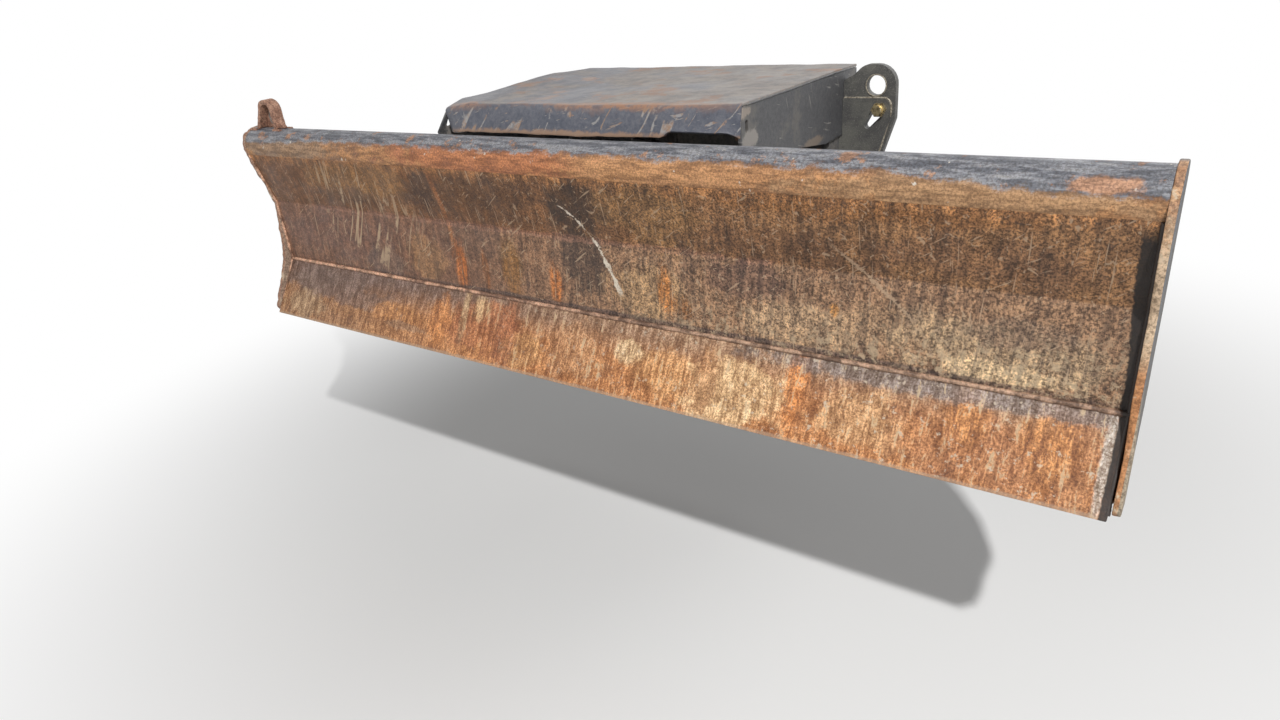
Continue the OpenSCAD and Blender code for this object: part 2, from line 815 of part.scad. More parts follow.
module lug_plate() {
    color("gray") translate([half_bracket, 0, 0]) front_plate(-lug_front, lug_t) difference() {
        polygon(rounded(lug_table));
        translate([lug_out, lug_z]) circle(d = lug_eye_d);
        slot();
    }
}

module doubler() {
    color("gray") translate([half_bracket, 0, 0]) front_plate(-lug_front - doubler_t, doubler_t)
    difference() {
        polygon(rounded(doubler_table));
        slot();
    }
}

// A hexagon screwed over the slot, with a round nose
module port_fitting() {
    hex_r = 19;
    hex_h = 12;
    color("goldenrod") translate([half_bracket + slot_top[0], -lug_front - doubler_t, slot_top[1]])
        rotate([90, 0, 0]) {
            cylinder(r = hex_r, h = hex_h, $fn = 6);
            cylinder(r = hex_r - 7, h = 2 * hex_h);
        }
}

// The cover's sheet runs forward from the mounting face and folds down over a ridge.
// The lip's corners fall back to the side plates.
cover_half = half_bracket + side_t;
lip_z = cover_z - lip_drop;
ridge = [-ridge_y, cover_z];
function lip_path(back) = [[-ridge_y - lip_run + back, lip_z], ridge];

module lip_section(x, back) {
    slab(x, tuck) polygon(folded(lip_path(back), sheet_t));
}

module cover_top() {
    color("slategray") {
        slab(0, 2 * cover_half) polygon([
            ridge, [-cover_back, cover_z], [-cover_back, cover_z - sheet_t], ridge - [-2, sheet_t]
        ]);
        slab(0, 2 * (cover_half - corner_w)) polygon(folded(lip_path(0), sheet_t));
        mirrored_x() hull() {
            lip_section(cover_half - corner_w, 0);
            lip_section(cover_half - tuck, corner_back);
        }
    }
}

// The side plates end just behind the lip. Columns: across, up from the cover's top, radius
lip_back = moved(lip_path(corner_back), sheet_t + seam);
lip_top = lip_back[1] + (lip_back[0] - lip_back[1]) * 0.12;
side_table = [
    [-cover_back - 10, -sheet_t - seam, 0],
    [-ridge_y + 2 * sheet_t, -sheet_t - seam, 0],
    [lip_top[0], lip_top[1] - cover_z, 0],
    [lip_back[0][0], -lip_drop, 0],
    [lip_back[0][0] + 4, -lip_drop - 14, 8],
    [-0.75 * ridge_y, -side_drop + 40, 0],
    [-0.33 * ridge_y, -side_drop, 0],
    [-0.15 * ridge_y, -side_drop + 4, 20],
    [-cover_back - 10, -side_drop + 68, 20]
];

module cover_side(s) {
    hole = [-ridge_y + 21, lip_z + 20];
    slab(s * (half_bracket + side_t / 2), side_t) difference() {
        translate([0, cover_z]) polygon(rounded(side_table));
        strap(hole, 6, hole + [0, 14], 6);
    }
}

module cover_side_left() {
    color("slategray") cover_side(-1);
}

module cover_side_right() {
    color("slategray") cover_side(1);
}

mouldboard();
top_tube();
lower_plate();
end_plate_left();
end_plate_right();
back_beam();
back_ribs();
tower_plates();
blade_pins();
corner_loop();
arm_left();
arm_right();
cross_tube();
rod_forks();
rod_pin_ends();
link_left();
link_right();
barrel_left();
barrel_right();
rod_left();
rod_right();
base_plate();
cheeks();
inner_cheeks();
bracket_pins();
cylinder_ears();
cylinder_pins();
top_shelf();
bottom_shelf();
lug_plate();
doubler();
port_fitting();
cover_top();
cover_side_left();
cover_side_right();
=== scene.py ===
import math

import bmesh
import bpy
from mathutils import Matrix, Vector, noise


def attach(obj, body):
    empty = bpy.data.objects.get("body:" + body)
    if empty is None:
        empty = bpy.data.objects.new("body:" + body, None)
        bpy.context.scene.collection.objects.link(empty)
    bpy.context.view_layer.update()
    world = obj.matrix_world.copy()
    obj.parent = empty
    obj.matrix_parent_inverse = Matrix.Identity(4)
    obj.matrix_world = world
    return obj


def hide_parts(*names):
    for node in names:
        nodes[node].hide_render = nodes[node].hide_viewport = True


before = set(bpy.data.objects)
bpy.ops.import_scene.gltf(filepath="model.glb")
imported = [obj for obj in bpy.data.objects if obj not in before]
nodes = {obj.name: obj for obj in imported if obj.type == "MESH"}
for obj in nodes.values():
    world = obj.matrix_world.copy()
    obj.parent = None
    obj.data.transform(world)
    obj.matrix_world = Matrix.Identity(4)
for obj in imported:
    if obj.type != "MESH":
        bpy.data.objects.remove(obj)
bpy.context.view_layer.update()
scene = bpy.context.scene


# Camera
# A wide lens at standing height, in front of the blade's right end, turned down to
# its face. Its place was solved from the blade's own edges in the photograph.
camera = bpy.data.objects.new("camera", bpy.data.cameras.new("camera"))
camera_back = -Vector((-0.547, 0.719, -0.429)).normalized()
camera_right = Vector((-0.1785, 0.4005, 0.8988)).cross(camera_back).normalized()
camera_up = camera_back.cross(camera_right)
camera.matrix_world = (
    Matrix.Translation((1.323, -2.249, 0.759))
    @ Matrix((camera_right, camera_up, camera_back)).transposed().to_4x4()
)
camera.data.sensor_width = 36
camera.data.lens = 22.92
camera.data.clip_end = 200
scene.collection.objects.link(camera)
scene.camera = camera


# Studio
# A pale floor just below the blade's lowest reach, which fades to white away from the
# object, under one small key lamp from the upper right, as the sun stood, and soft fill.
floor_z = -0.9
floor_radius = 16
fade_start, fade_end = 1.1, 3.2
key_direction = Vector((0.397, -0.405, 0.556)).normalized()
key_distance, fill_distance = 7, 6
key_size, fill_size = 0.22, 4
key_power, front_power, rear_power = 400, 40, 95
sky_fill = 0.15
studio_target = Vector((0, -0.6, 0))

scene.view_settings.view_transform = "Standard"


def add_lamp(name, direction, distance, size, power):
    """A square area lamp that looks at the middle of the object."""
    lamp = bpy.data.objects.new(name, bpy.data.lights.new(name, "AREA"))
    lamp.data.size = size
    lamp.data.energy = power
    lamp.location = studio_target + direction.normalized() * distance
    lamp.rotation_mode = "QUATERNION"
    lamp.rotation_quaternion = direction.to_track_quat("Z", "Y")
    scene.collection.objects.link(lamp)


add_lamp("key_lamp", key_direction, key_distance, key_size, key_power)
add_lamp("front_fill", Vector((-0.8, -1.0, 0.55)), fill_distance, fill_size, front_power)
add_lamp("rear_fill", Vector((0.3, 1.0, 0.6)), fill_distance, fill_size, rear_power)


class Nodes:
    """A node tree that is put together in short calls."""

    def __init__(self, tree):
        self.tree = tree

    def add(self, kind, inputs=None, **settings):
        node = self.tree.nodes.new(kind)
        for key, value in settings.items():
            setattr(node, key, value)
        for key, value in (inputs or {}).items():
            if isinstance(value, bpy.types.NodeSocket):
                self.tree.links.new(value, node.inputs[key])
            else:
                node.inputs[key].default_value = value
        return node

    def calc(self, operation, a, b=0.0, c=0.0):
        return self.add("ShaderNodeMath", {0: a, 1: b, 2: c}, operation=operation).outputs[0]

    def times(self, a, b):
        return self.calc("MULTIPLY", a, b)

    def linear(self, value, slope, start):
        return self.calc("MULTIPLY_ADD", value, slope, start)

    def seen(self):
        """1 for a ray from the camera, straight or by a mirror or glass, and 0 for light."""
        rays = self.add("ShaderNodeLightPath").outputs
        direct = self.calc("MAXIMUM", rays["Is Camera Ray"], rays["Is Glossy Ray"])
        return self.calc("MAXIMUM", direct, rays["Is Transmission Ray"])


class Finish(Nodes):
    """A material that is laid on coat by coat over a running tone, in metres on the object."""

    def __init__(self, name, roughness=0.5, metallic=0.0):
        self.material = bpy.data.materials.new(name)
        self.material.use_nodes = True
        super().__init__(self.material.node_tree)
        self.shader = self.tree.nodes["Principled BSDF"]
        self.shader.inputs["Roughness"].default_value = roughness
        self.shader.inputs["Metallic"].default_value = metallic
        self.place = self.add("ShaderNodeTexCoord").outputs["Object"]
        self.x, self.y, self.z = self.add("ShaderNodeSeparateXYZ", {0: self.place}).outputs

    def stretched(self, scale, turn=(0, 0, 0)):
        """The object's place, turned and then scaled along each axis."""
        turned = self.add("ShaderNodeMapping", {0: self.place, "Rotation": turn}).outputs[0]
        return self.add("ShaderNodeMapping", {0: turned, "Scale": scale}).outputs[0]

    def noise(self, scale, detail=4.0, rough=0.55, at=None, warp=0.0):
        inputs = {"Vector": at or self.place, "Scale": scale, "Detail": detail,
                  "Roughness": rough, "Distortion": warp}
        return self.add("ShaderNodeTexNoise", inputs).outputs["Fac"]

    def grade(self, value, low, high, to_low=0.0, to_high=1.0):
        """A smooth step of a value, from to_low at low up to to_high at high."""
        inputs = {"Value": value, "From Min": low, "From Max": high, "To Min": to_low, "To Max": to_high}
        return self.add("ShaderNodeMapRange", inputs, interpolation_type="SMOOTHSTEP").outputs[0]

    def mix(self, amount, a, b, blend="MIX"):
        a, b = (v if isinstance(v, bpy.types.NodeSocket) else (*v, 1) for v in (a, b))
        node = self.add("ShaderNodeMix", {0: amount, 6: a, 7: b}, data_type="RGBA", blend_type=blend)
        return node.outputs[2]

    def patch(self, middle, reach, ragged, soft=0.25, bite=3.2):
        """A patch round a point, reach metres wide each way, whose edge a noise makes ragged."""
        scale = [1 / r if r else 0 for r in reach]
        shift = [-m * s for m, s in zip(middle, scale)]
        local = self.add("ShaderNodeMapping", {0: self.place, "Location": shift, "Scale": scale}).outputs[0]
        away = self.add("ShaderNodeVectorMath", {0: local}, operation="LENGTH").outputs["Value"]
        away = self.linear(ragged, bite, self.calc("SUBTRACT", away, bite / 2))
        return self.grade(away, 1 - soft, 1 + soft, 1, 0)

    def over(self, mask, tint, strength=1.0):
        """Lays a tint over the tone where a mask is, at a strength."""
        self.tone = self.mix(self.times(mask, strength), self.tone, tint)

    def multiply(self, tint):
        self.tone = self.mix(1.0, self.tone, tint, "MULTIPLY")

    def tinted(self, value, low, high, dark, bright):
        """Multiplies the tone by dark where the value is low and by bright where it is high."""
        self.multiply(self.mix(self.grade(value, low, high), dark, bright))

    def layer(self, ragged, patches):
        """Lays patches on the tone. Columns: x, z, half width, half height, tint, strength."""
        for x, z, half_w, half_h, tint, amount in patches:
            self.over(self.patch((x, 0, z), (half_w, 0, half_h), ragged), tint, amount)

    def runs(self, blot, streak, faint, patches):
        """Lays patches that run down in streaks. The columns are the same as in layer."""
        for x, z, half_w, half_h, tint, amount in patches:
            run = self.patch((x, 0, z), (half_w, 0, half_h), blot, 0.35, 2.4)
            self.over(self.times(run, self.grade(streak, 0.34, 0.56, faint, amount)), tint)

    def roughness(self, socket):
        self.tree.links.new(socket, self.shader.inputs["Roughness"])

    def metal(self, socket):
        self.tree.links.new(socket, self.shader.inputs["Metallic"])

    def done(self, height, distance, strength=0.8):
        """Ends a finish: its tone becomes the colour, and a height in the grain the bump."""
        self.tree.links.new(self.tone, self.shader.inputs["Base Color"])
        node = self.add("ShaderNodeBump", {"Height": height, "Distance": distance, "Strength": strength})
        self.tree.links.new(node.outputs[0], self.shader.inputs["Normal"])

    def paint(self, *names, broken=0.0):
        """Gives the finish to CAD nodes, and breaks their sharp edges as thick paint does."""
        for name in names:
            nodes[name].data.materials.clear()
            nodes[name].data.materials.append(self.material)
            if broken:
                nodes[name].modifiers.new("merged", "WELD").merge_threshold = 0.00005
                bevel = nodes[name].modifiers.new("broken_edges", "BEVEL")
                bevel.width = broken
                bevel.segments = 2
                bevel.limit_method = "ANGLE"
                bevel.angle_limit = math.radians(50)
                bevel.harden_normals = True


world = bpy.data.worlds.new("studio")
scene.world = world
world.use_nodes = True
sky = Nodes(world.node_tree)
strength = sky.add("ShaderNodeMapRange", {"Value": sky.seen(), "To Min": sky_fill, "To Max": 1})
background = world.node_tree.nodes["Background"]
background.inputs["Color"].default_value = (1, 1, 1, 1)
sky.tree.links.new(strength.outputs[0], background.inputs["Strength"])

floor_mesh = bmesh.new()
bmesh.ops.create_circle(floor_mesh, cap_ends=True, segments=96, radius=floor_radius,
                        matrix=Matrix.Translation((0, 0, floor_z)))
floor_data = bpy.data.meshes.new("floor")
floor_mesh.to_mesh(floor_data)
floor_mesh.free()
floor = bpy.data.objects.new("floor", floor_data)
scene.collection.objects.link(floor)

floor_finish = Finish("pale_floor", roughness=0.9)
floor_finish.shader.inputs["Base Color"].default_value = (0.86, 0.855, 0.845, 1)
floor_finish.shader.inputs["Specular IOR Level"].default_value = 0.1
flat_place = floor_finish.stretched((1, 1, 0))
away = floor_finish.add("ShaderNodeVectorMath", {0: flat_place}, operation="LENGTH").outputs["Value"]
fade = floor_finish.grade(away, fade_start, fade_end)
white = floor_finish.add("ShaderNodeEmission", {"Color": (1, 1, 1, 1), "Strength": 1.0}).outputs[0]
blend = floor_finish.add("ShaderNodeMixShader", {0: floor_finish.times(fade, floor_finish.seen()),
                                                 1: floor_finish.shader.outputs[0], 2: white})
floor_output = floor_finish.tree.nodes["Material Output"]
floor_finish.tree.links.new(blend.outputs[0], floor_output.inputs["Surface"])
floor_data.materials.append(floor_finish.material)


# Bracket
# Thick flame-cut plates: a base plate with eight bolt holes, two cheeks, two inner cheeks
# and two shelves, welded together and painted dark grey, dusty by now.
dust_colour = (0.3, 0.26, 0.21)
grey_paint = (0.095, 0.095, 0.098)
bright_rust = (0.34, 0.13, 0.045)
dark_rust = (0.12, 0.055, 0.03)
bead_step = 0.0035
cheek_x = 0.434
inner_cheek_faces = (0.28, 0.302)
ear_faces = (0.137, 0.157, 0.223, 0.243)
plate_front = -0.0265


def frame_finish(name, paint, dust, chips):
    """Thick dark paint with dust in patches, runs of rust and chips down to rust."""
    finish = Finish(name, roughness=0.55)
    cloud = finish.noise(3.2, 7, 0.68)
    grain = finish.noise(95, 5, 0.75)
    speck = finish.noise(210, 3, 0.7)
    run = finish.noise(9, 6, 0.66, finish.stretched((1, 1, 0.14)))
    darker, lighter = ([c * times for c in paint] for times in (0.7, 1.3))
    finish.tone = finish.mix(finish.grade(grain, 0.35, 0.68), darker, lighter)
    dusty = finish.times(finish.grade(cloud, 0.42, 0.6), finish.grade(grain, 0.3, 0.7, 0.2, dust))
    finish.over(dusty, dust_colour)
    rusty = finish.times(finish.grade(run, 0.58, 0.7), finish.grade(grain, 0.35, 0.6, 0.1, chips))
    finish.over(rusty, bright_rust)
    chip = finish.grade(finish.linear(cloud, 0.35, speck), 0.84, 0.88, 0, chips)
    finish.over(chip, dark_rust)
    finish.roughness(finish.grade(cloud, 0.35, 0.65, 0.42, 0.75))
    finish.done(finish.calc("SUBTRACT", finish.times(grain, 0.5), chip), 0.0007)
    return finish


def walked(points):
    """Places every few millimetres along a broken line."""
    path = []
    for a, b in zip(points, points[1:]):
        count = max(1, round((b - a).length / bead_step))
        path += [a.lerp(b, i / count) for i in range(count)]
    return path + [points[-1]]


def carry(name, data, finish, body):
    """Makes a piece of a mesh or a curve, in its finish, which rides on a body."""
    data.materials.append(finish.material)
    piece = bpy.data.objects.new(name, data)
    scene.collection.objects.link(piece)
    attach(piece, body)
    return piece


def add_beads(name, finish, body, runs):
    """Weld beads as one piece. A run is a radius and the points that the welder followed."""
    curve = bpy.data.curves.new(name, "CURVE")
    curve.dimensions = "3D"
    curve.bevel_depth = 1
    curve.bevel_resolution = 1
    curve.use_fill_caps = True
    for radius, points in runs:
        path = walked([Vector(p) for p in points])
        spline = curve.splines.new("POLY")
        spline.points.add(len(path) - 1)
        for number, (knot, place) in enumerate(zip(spline.points, path)):
            knot.co = (*place, 1)
            knot.radius = radius * (1 + 0.16 * (number % 2) + 0.3 * noise.noise(place * 55))
    carry(name, curve, finish, body)


def both_sides(runs):
    """The runs, and the same runs mirrored to the other side of the middle."""
    return runs + [(radius, [(-x, y, z) for x, y, z in points]) for radius, points in runs]


bracket_finish = frame_finish("dusty_grey_paint", grey_paint, 0.55, 0.8)
bracket_finish.paint("base_plate", "cheeks", "inner_cheeks", "cylinder_ears", "top_shelf", "bottom_shelf",
                     broken=0.0016)
shelf_rear, shelf_front, shelf_top, shelf_foot = -0.0275, -0.16, 0.438, 0.424
bracket_runs = [(0.006, [(cheek_x - 0.001, plate_front, -0.41), (cheek_x - 0.001, plate_front, 0.42)])]
bracket_runs += [(0.006, [(x, plate_front, -0.37), (x, plate_front, -0.02)]) for x in inner_cheek_faces]
bracket_runs += [(0.006, [(x, plate_front, 0.25), (x, plate_front, 0.392)]) for x in ear_faces]
shelf_end = cheek_x - 0.002
bracket_runs += [(0.005, [(0, shelf_rear, z), (shelf_end, shelf_rear, z), (shelf_end, shelf_front, z)])
                 for z in (shelf_top, shelf_foot)]
bracket_runs += [(0.005, [(0, plate_front, z), (0.279, plate_front, z), (0.279, -0.09, z)])
                 for z in (-0.407, -0.393)]
add_beads("bracket_welds", bracket_finish, "bracket", both_sides(bracket_runs))


# Pins and rods
# The pins are turned steel with a flame-cut keeper plate, held by one bolt with a washer
# and greased through a nipple. The piston rods are ground and hard chromed.
pin = Finish("greasy_steel", roughness=0.38, metallic=1.0)
smear = pin.noise(14, 6, 0.66)
pin_grain = pin.noise(150, 4, 0.7)
pin.tone = pin.mix(pin.grade(smear, 0.42, 0.6), (0.36, 0.34, 0.31), (0.14, 0.1, 0.075))
pin.over(pin.grade(pin_grain, 0.58, 0.72, 0, 0.6), bright_rust)
pin.metal(pin.grade(smear, 0.42, 0.6, 0.95, 0.3))
pin.roughness(pin.grade(smear, 0.4, 0.6, 0.32, 0.62))
pin.done(pin_grain, 0.0004, 0.6)
pin.paint("blade_pins", "rod_pin_ends", "bracket_pins", "cylinder_pins", broken=0.0014)


def grimy(name, roughness, metallic, scale, detail, low, high, clean, grime, depth, strength=0.6):
    """A plain finish with grime, whose colour and relief come from one fine noise."""
    finish = Finish(name, roughness, metallic)
    finish.grain = finish.noise(scale, detail, 0.7)
    finish.tone = finish.mix(finish.grade(finish.grain, low, high), clean, grime)
    finish.done(finish.grain, depth, strength)
    return finish


bolt_finish = grimy("zinc_bolt", 0.4, 0.85, 160, 5, 0.42, 0.62,
                    (0.42, 0.4, 0.34), (0.17, 0.1, 0.06), 0.0004)
bolt_finish.roughness(bolt_finish.grade(bolt_finish.grain, 0.4, 0.6, 0.32, 0.6))


def make_piece(name, mesh, finish, body, replaced=(), crease=38):
    """Turns a bmesh into a piece that rides on a body."""
    bmesh.ops.recalc_face_normals(mesh, faces=mesh.faces)
    data = bpy.data.meshes.new(name)
    mesh.to_mesh(data)
    mesh.free()
    data.shade_smooth()
    data.set_sharp_from_angle(angle=math.radians(crease))
    for polygon in data.polygons:
        polygon.use_smooth = polygon.loop_total < 9 and polygon.area < 0.0003
    piece = carry(name, data, finish, body)
    if replaced:
        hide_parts(*replaced)


def add_turned(mesh, profile, place, steps=20):
    """Spins a profile of (radius, height) pairs into a turned part and puts it in its place."""
    before = set(mesh.verts)
    line = [mesh.verts.new((radius, 0, height)) for radius, height in profile]
    edges = [mesh.edges.new(pair) for pair in zip(line, line[1:])]
    bmesh.ops.spin(mesh, geom=line + edges, cent=(0, 0, 0), axis=(0, 0, 1), angle=math.tau,
                   steps=steps, use_merge=True)
    made = [v for v in mesh.verts if v not in before]
    bmesh.ops.remove_doubles(mesh, verts=made, dist=0.00002)
    made = [v for v in mesh.verts if v not in before]
    bmesh.ops.transform(mesh, matrix=place, verts=made)


def add_hexagon(mesh, radius, height, place):
    """A hexagon head with its edges taken off, standing on its place's XY plane."""
    middle = Matrix.Translation((0, 0, height / 2))
    head = bmesh.ops.create_cone(mesh, cap_ends=True, segments=6, radius1=radius, radius2=radius,
                                 depth=height, matrix=middle)["verts"]
    edges = list({edge for vert in head for edge in vert.link_edges})
    before = set(mesh.verts) - set(head)
    bmesh.ops.bevel(mesh, geom=edges, offset=radius * 0.09, segments=2, profile=0.5,
                    affect="EDGES", material=-1)
    bmesh.ops.transform(mesh, matrix=place, verts=[v for v in mesh.verts if v not in before])


def facing(place, direction):
    """A matrix whose Z axis points along a direction, at a place."""
    turn = Vector(direction).to_track_quat("Z", "Y").to_matrix().to_4x4()
    return Matrix.Translation(place) @ turn


bolt_hex = (0.0165, 0.013)
nipple_hex = (0.0058, 0.005)
washer_profile = [(0.01, 0.003), (0.0185, 0.003), (0.0195, 0.002), (0.0195, 0)]
nipple_profile = [(0, 0.0155), (0.0018, 0.015), (0.0032, 0.0125), (0.003, 0.011), (0.002, 0.0095),
                  (0.0026, 0.0065), (0.004, 0.006), (0.004, 0.0045)]
# For each body, where its keeper bolts and the middles of their pins lie on the right side
keeper_bolts = {
    "blade": [((0.466, -0.632, 0.0562), (0.466, -0.608, -0.0078)),
              ((0.466, -0.698, 0.2072), (0.466, -0.648, 0.2172))],
    "bracket": [((0.46, -0.067, -0.286), (0.46, -0.091, -0.35)),
                ((0.46, -0.091, -0.089), (0.46, -0.131, -0.125)),
                ((0.253, -0.075, 0.274), (0.253, -0.085, 0.32))],
    "lift_arm": [((0.251, -0.3432, -0.1905), (0.251, -0.3521, -0.2372))],
}
for body, fixings in keeper_bolts.items():
    fastener_mesh = bmesh.new()
    for bolt_place, pin_place in fixings:
        for side in (-1, 1):
            outward = (side, 0, 0)
            bolt = facing((side * bolt_place[0], *bolt_place[1:]), outward)
            add_turned(fastener_mesh, washer_profile, bolt, 28)
            add_hexagon(fastener_mesh, *bolt_hex, bolt)
            nipple = facing((side * pin_place[0], *pin_place[1:]), outward)
            add_turned(fastener_mesh, nipple_profile, nipple, 14)
            add_hexagon(fastener_mesh, *nipple_hex, nipple)
    make_piece(body + "_fasteners", fastener_mesh, bolt_finish, body)

rod = Finish("hard_chrome", roughness=0.14, metallic=1.0)
film = rod.noise(20, 4, 0.65)
rod.tone = rod.mix(rod.grade(film, 0.5, 0.7, 0, 0.4), (0.72, 0.73, 0.75), (0.4, 0.36, 0.31))
rod.roughness(rod.grade(film, 0.4, 0.7, 0.1, 0.32))
rod.done(rod.noise(400, 2, 0.5, rod.stretched((1, 0.2, 0.2))), 0.0001, 0.4)
rod.paint("rod_left", "rod_right")


# Lift cylinders
# Welded hydraulic barrels with a capped base, two port bosses each and a gland at the rod
# end, in dark grey paint. Plated blanking caps close the ports, and a wiper seals the rod.
cylinder_x = 0.19
cylinder_top = Vector((0, -0.085, 0.32))
down_line = Vector((0, -0.4323, -0.9018))
port_line = Vector((0, -0.9018, 0.4323))
port_depths = (0.103, 0.4628)
port_face = 0.062
gland_face = 0.5218
barrel_finish = frame_finish("barrel_paint", (0.1, 0.1, 0.103), 0.45, 0.6)
barrel_finish.paint("barrel_left", "barrel_right")
seal_finish = grimy("black_rubber", 0.6, 0.0, 300, 4, 0.4, 0.65,
                    (0.018, 0.018, 0.018), (0.07, 0.06, 0.05), 0.0003)
wiper_profile = [(0.0256, 0.001), (0.0262, 0.0045), (0.0285, 0.0055), (0.0335, 0.0035), (0.0345, 0.0)]
cap_hex = (0.0125, 0.011)
cap_profile = [(0, 0.0035), (0.0145, 0.0035), (0.0152, 0.0028), (0.0152, 0)]


def ring(centre, axis, radius):
    """Points on a circle round an axis."""
    across = Vector((0, 1, 0)) if abs(axis[0]) > 0.9 else Vector((1, 0, 0))
    other = Vector(axis).cross(across)
    count = max(6, round(radius * math.tau / bead_step))
    angles = [math.tau * i / count for i in range(count + 1)]
    return [tuple(Vector(centre) + (across * math.cos(a) + other * math.sin(a)) * radius) for a in angles]


for side, sign in (("left", -1), ("right", 1)):
    head = cylinder_top + Vector((sign * cylinder_x, 0, 0))
    seams = [(0.0022, ring(head + down_line * 0.06, down_line, 0.0493)),
             (0.0035, ring(head + down_line * 0.083, down_line, 0.0495))]
    cap_mesh = bmesh.new()
    for depth in port_depths:
        boss = head + down_line * depth
        seams.append((0.003, ring(boss + port_line * 0.0485, port_line, 0.0185)))
        cap_place = facing(boss + port_line * port_face, port_line)
        add_turned(cap_mesh, cap_profile, cap_place, 24)
        add_hexagon(cap_mesh, *cap_hex, cap_place)
    add_beads("barrel_seams_" + side, barrel_finish, "cylinder_" + side, seams)
    make_piece("port_caps_" + side, cap_mesh, bolt_finish, "cylinder_" + side)
    wiper_mesh = bmesh.new()
    add_turned(wiper_mesh, wiper_profile, facing(head + down_line * gland_face, down_line), 36)
    make_piece("rod_wiper_" + side, wiper_mesh, seal_finish, "cylinder_" + side)


# Lift linkage
# Two box arms with round bosses, joined by a cross tube that carries the forks for the
# cylinders, and two plain upper links. Welded plate in dark grey paint, muddy and rubbed.
rest_angle = math.radians(-33.5)
lower_pivot = Vector((0, -0.091, -0.35))
arm_faces = (0.318, 0.418)
arm_inner_faces = (0.3345, 0.4015)
arm_finish = frame_finish("arm_paint", (0.088, 0.088, 0.09), 0.7, 0.9)
arm_finish.paint("arm_left", "arm_right", "cross_tube", "rod_forks", "link_left", "link_right",
                 broken=0.0016)


def on_arm(x, along, up):
    """A place on the arms, from its distance along and above the line between the pins."""
    offset = Vector((0, along, up))
    offset.rotate(Matrix.Rotation(rest_angle, 3, "X"))
    return lower_pivot + offset + Vector((x, 0, 0))


# Places along and above the line between the pins
arm_top_seam = [(-0.056, 0.0398), (-0.15, 0.0445), (-0.248, 0.0488), (-0.36, 0.0486),
                (-0.477, 0.0474), (-0.566, 0.0418)]
arm_foot_seam = [(-0.056, -0.0455), (-0.18, -0.064), (-0.329, -0.0905), (-0.496, -0.0842), (-0.564, -0.059)]
tube_along, tube_up = -0.418, -0.034
fork_bead = 0.0525
fork_seam = [(tube_along + fork_bead * math.cos(a / 20), tube_up + fork_bead * math.sin(a / 20))
             for a in range(-29, 25)]
linkage_runs = [(0.005, [on_arm(x, *p) for p in seam])
                for x in arm_inner_faces for seam in (arm_top_seam, arm_foot_seam)]
linkage_runs += [(0.005, ring(on_arm(x, along, 0), (1, 0, 0), 0.0515))
                 for x in arm_faces for along in (0, -0.62)]
linkage_runs.append((0.006, ring(on_arm(0.3165, tube_along, tube_up), (1, 0, 0), 0.0535)))
linkage_runs += [(0.0045, [on_arm(x, *p) for p in fork_seam]) for x in (0.139, 0.157, 0.223, 0.241)]
add_beads("linkage_welds", arm_finish, "lift_arm", both_sides(linkage_runs))


# Lug plate
# A thick plate with an eye, welded square to the right cheek, with a doubler on its
# front and a plated hydraulic port fitting over the slot. Pitted grey paint, bare rims.
lug = Finish("speckled_grey_paint", roughness=0.6)
lug_cloud = lug.noise(11, 7, 0.7)
lug_speck = lug.noise(330, 4, 0.75)
lug_pit = lug.noise(170, 3, 0.7)
lug.tone = lug.mix(lug.grade(lug_cloud, 0.4, 0.62), (0.072, 0.07, 0.068), (0.125, 0.122, 0.108))
lug.over(lug.grade(lug_speck, 0.56, 0.66, 0, 0.8), (0.3, 0.29, 0.25))
lug.over(lug.grade(lug_pit, 0.62, 0.68, 0, 0.7), (0.025, 0.024, 0.023))
lug.done(lug.calc("SUBTRACT", lug_speck, lug_pit), 0.0007)
lug.paint("lug_plate", "doubler", broken=0.0012)

rim_finish = grimy("rubbed_bare_rim", 0.45, 0.3, 240, 4, 0.4, 0.62,
                   (0.42, 0.38, 0.3), (0.14, 0.11, 0.08), 0.0005, 0.7)
lug_eye = (0.546, 0.439)
doubler_edge = [(0.461, 0.4082), (0.572, 0.4082), (0.583, 0.402), (0.5872, 0.39), (0.5875, 0.372),
                (0.58, 0.345), (0.566, 0.292), (0.557, 0.262), (0.535, 0.19), (0.512, 0.138)]
lug_runs = [(0.0032, [(x, -0.1115, z) for x, z in doubler_edge])]
lug_runs += [(0.0016, ring((lug_eye[0], y, lug_eye[1]), (0, 1, 0), 0.0268)) for y in (-0.1105, -0.0895)]
lug_runs += [(0.005, [(0.4525, y, 0.062), (0.4525, y, 0.304)]) for y in (-0.112, -0.088)]
add_beads("lug_rims_and_welds", rim_finish, "bracket", lug_runs)

zinc_finish = grimy("yellow_zinc", 0.32, 0.9, 120, 5, 0.45, 0.62,
                    (0.8, 0.66, 0.38), (0.3, 0.22, 0.12), 0.0004)
zinc_finish.paint("port_fitting", broken=0.001)


# Cover
# One 6 mm sheet folded down at the front over the cylinders, between two side plates. It
# is dented and bowed, its paint scratched pale, and rusted along the ridge and the lip.
cover_half = 0.458
cover_top_z = 0.484
cover_rear, ridge_y = -0.02, -0.67
crush_x, crush_y, crush_depth = -0.37, -0.6, 0.019
notch_x, notch_depth = 0.262, 0.016
flap_flare, foot_drop = 0.044, 0.024
fold_centre = Vector((0, -0.6627, 0.474))
fold_radius = 0.01
lip_direction = Vector((0, -0.3088, -0.9511))
lip_length = 0.067
sheet_t = 0.006
fold_turn = 72
side_slice, side_slices = 0.042, 16
seam_z, seam_inset, seam_step, seam_steps = 0.4775, 0.0005, 0.0238, 27
rows_flat, rows_fold, rows_lip, columns = 44, 6, 12, 72


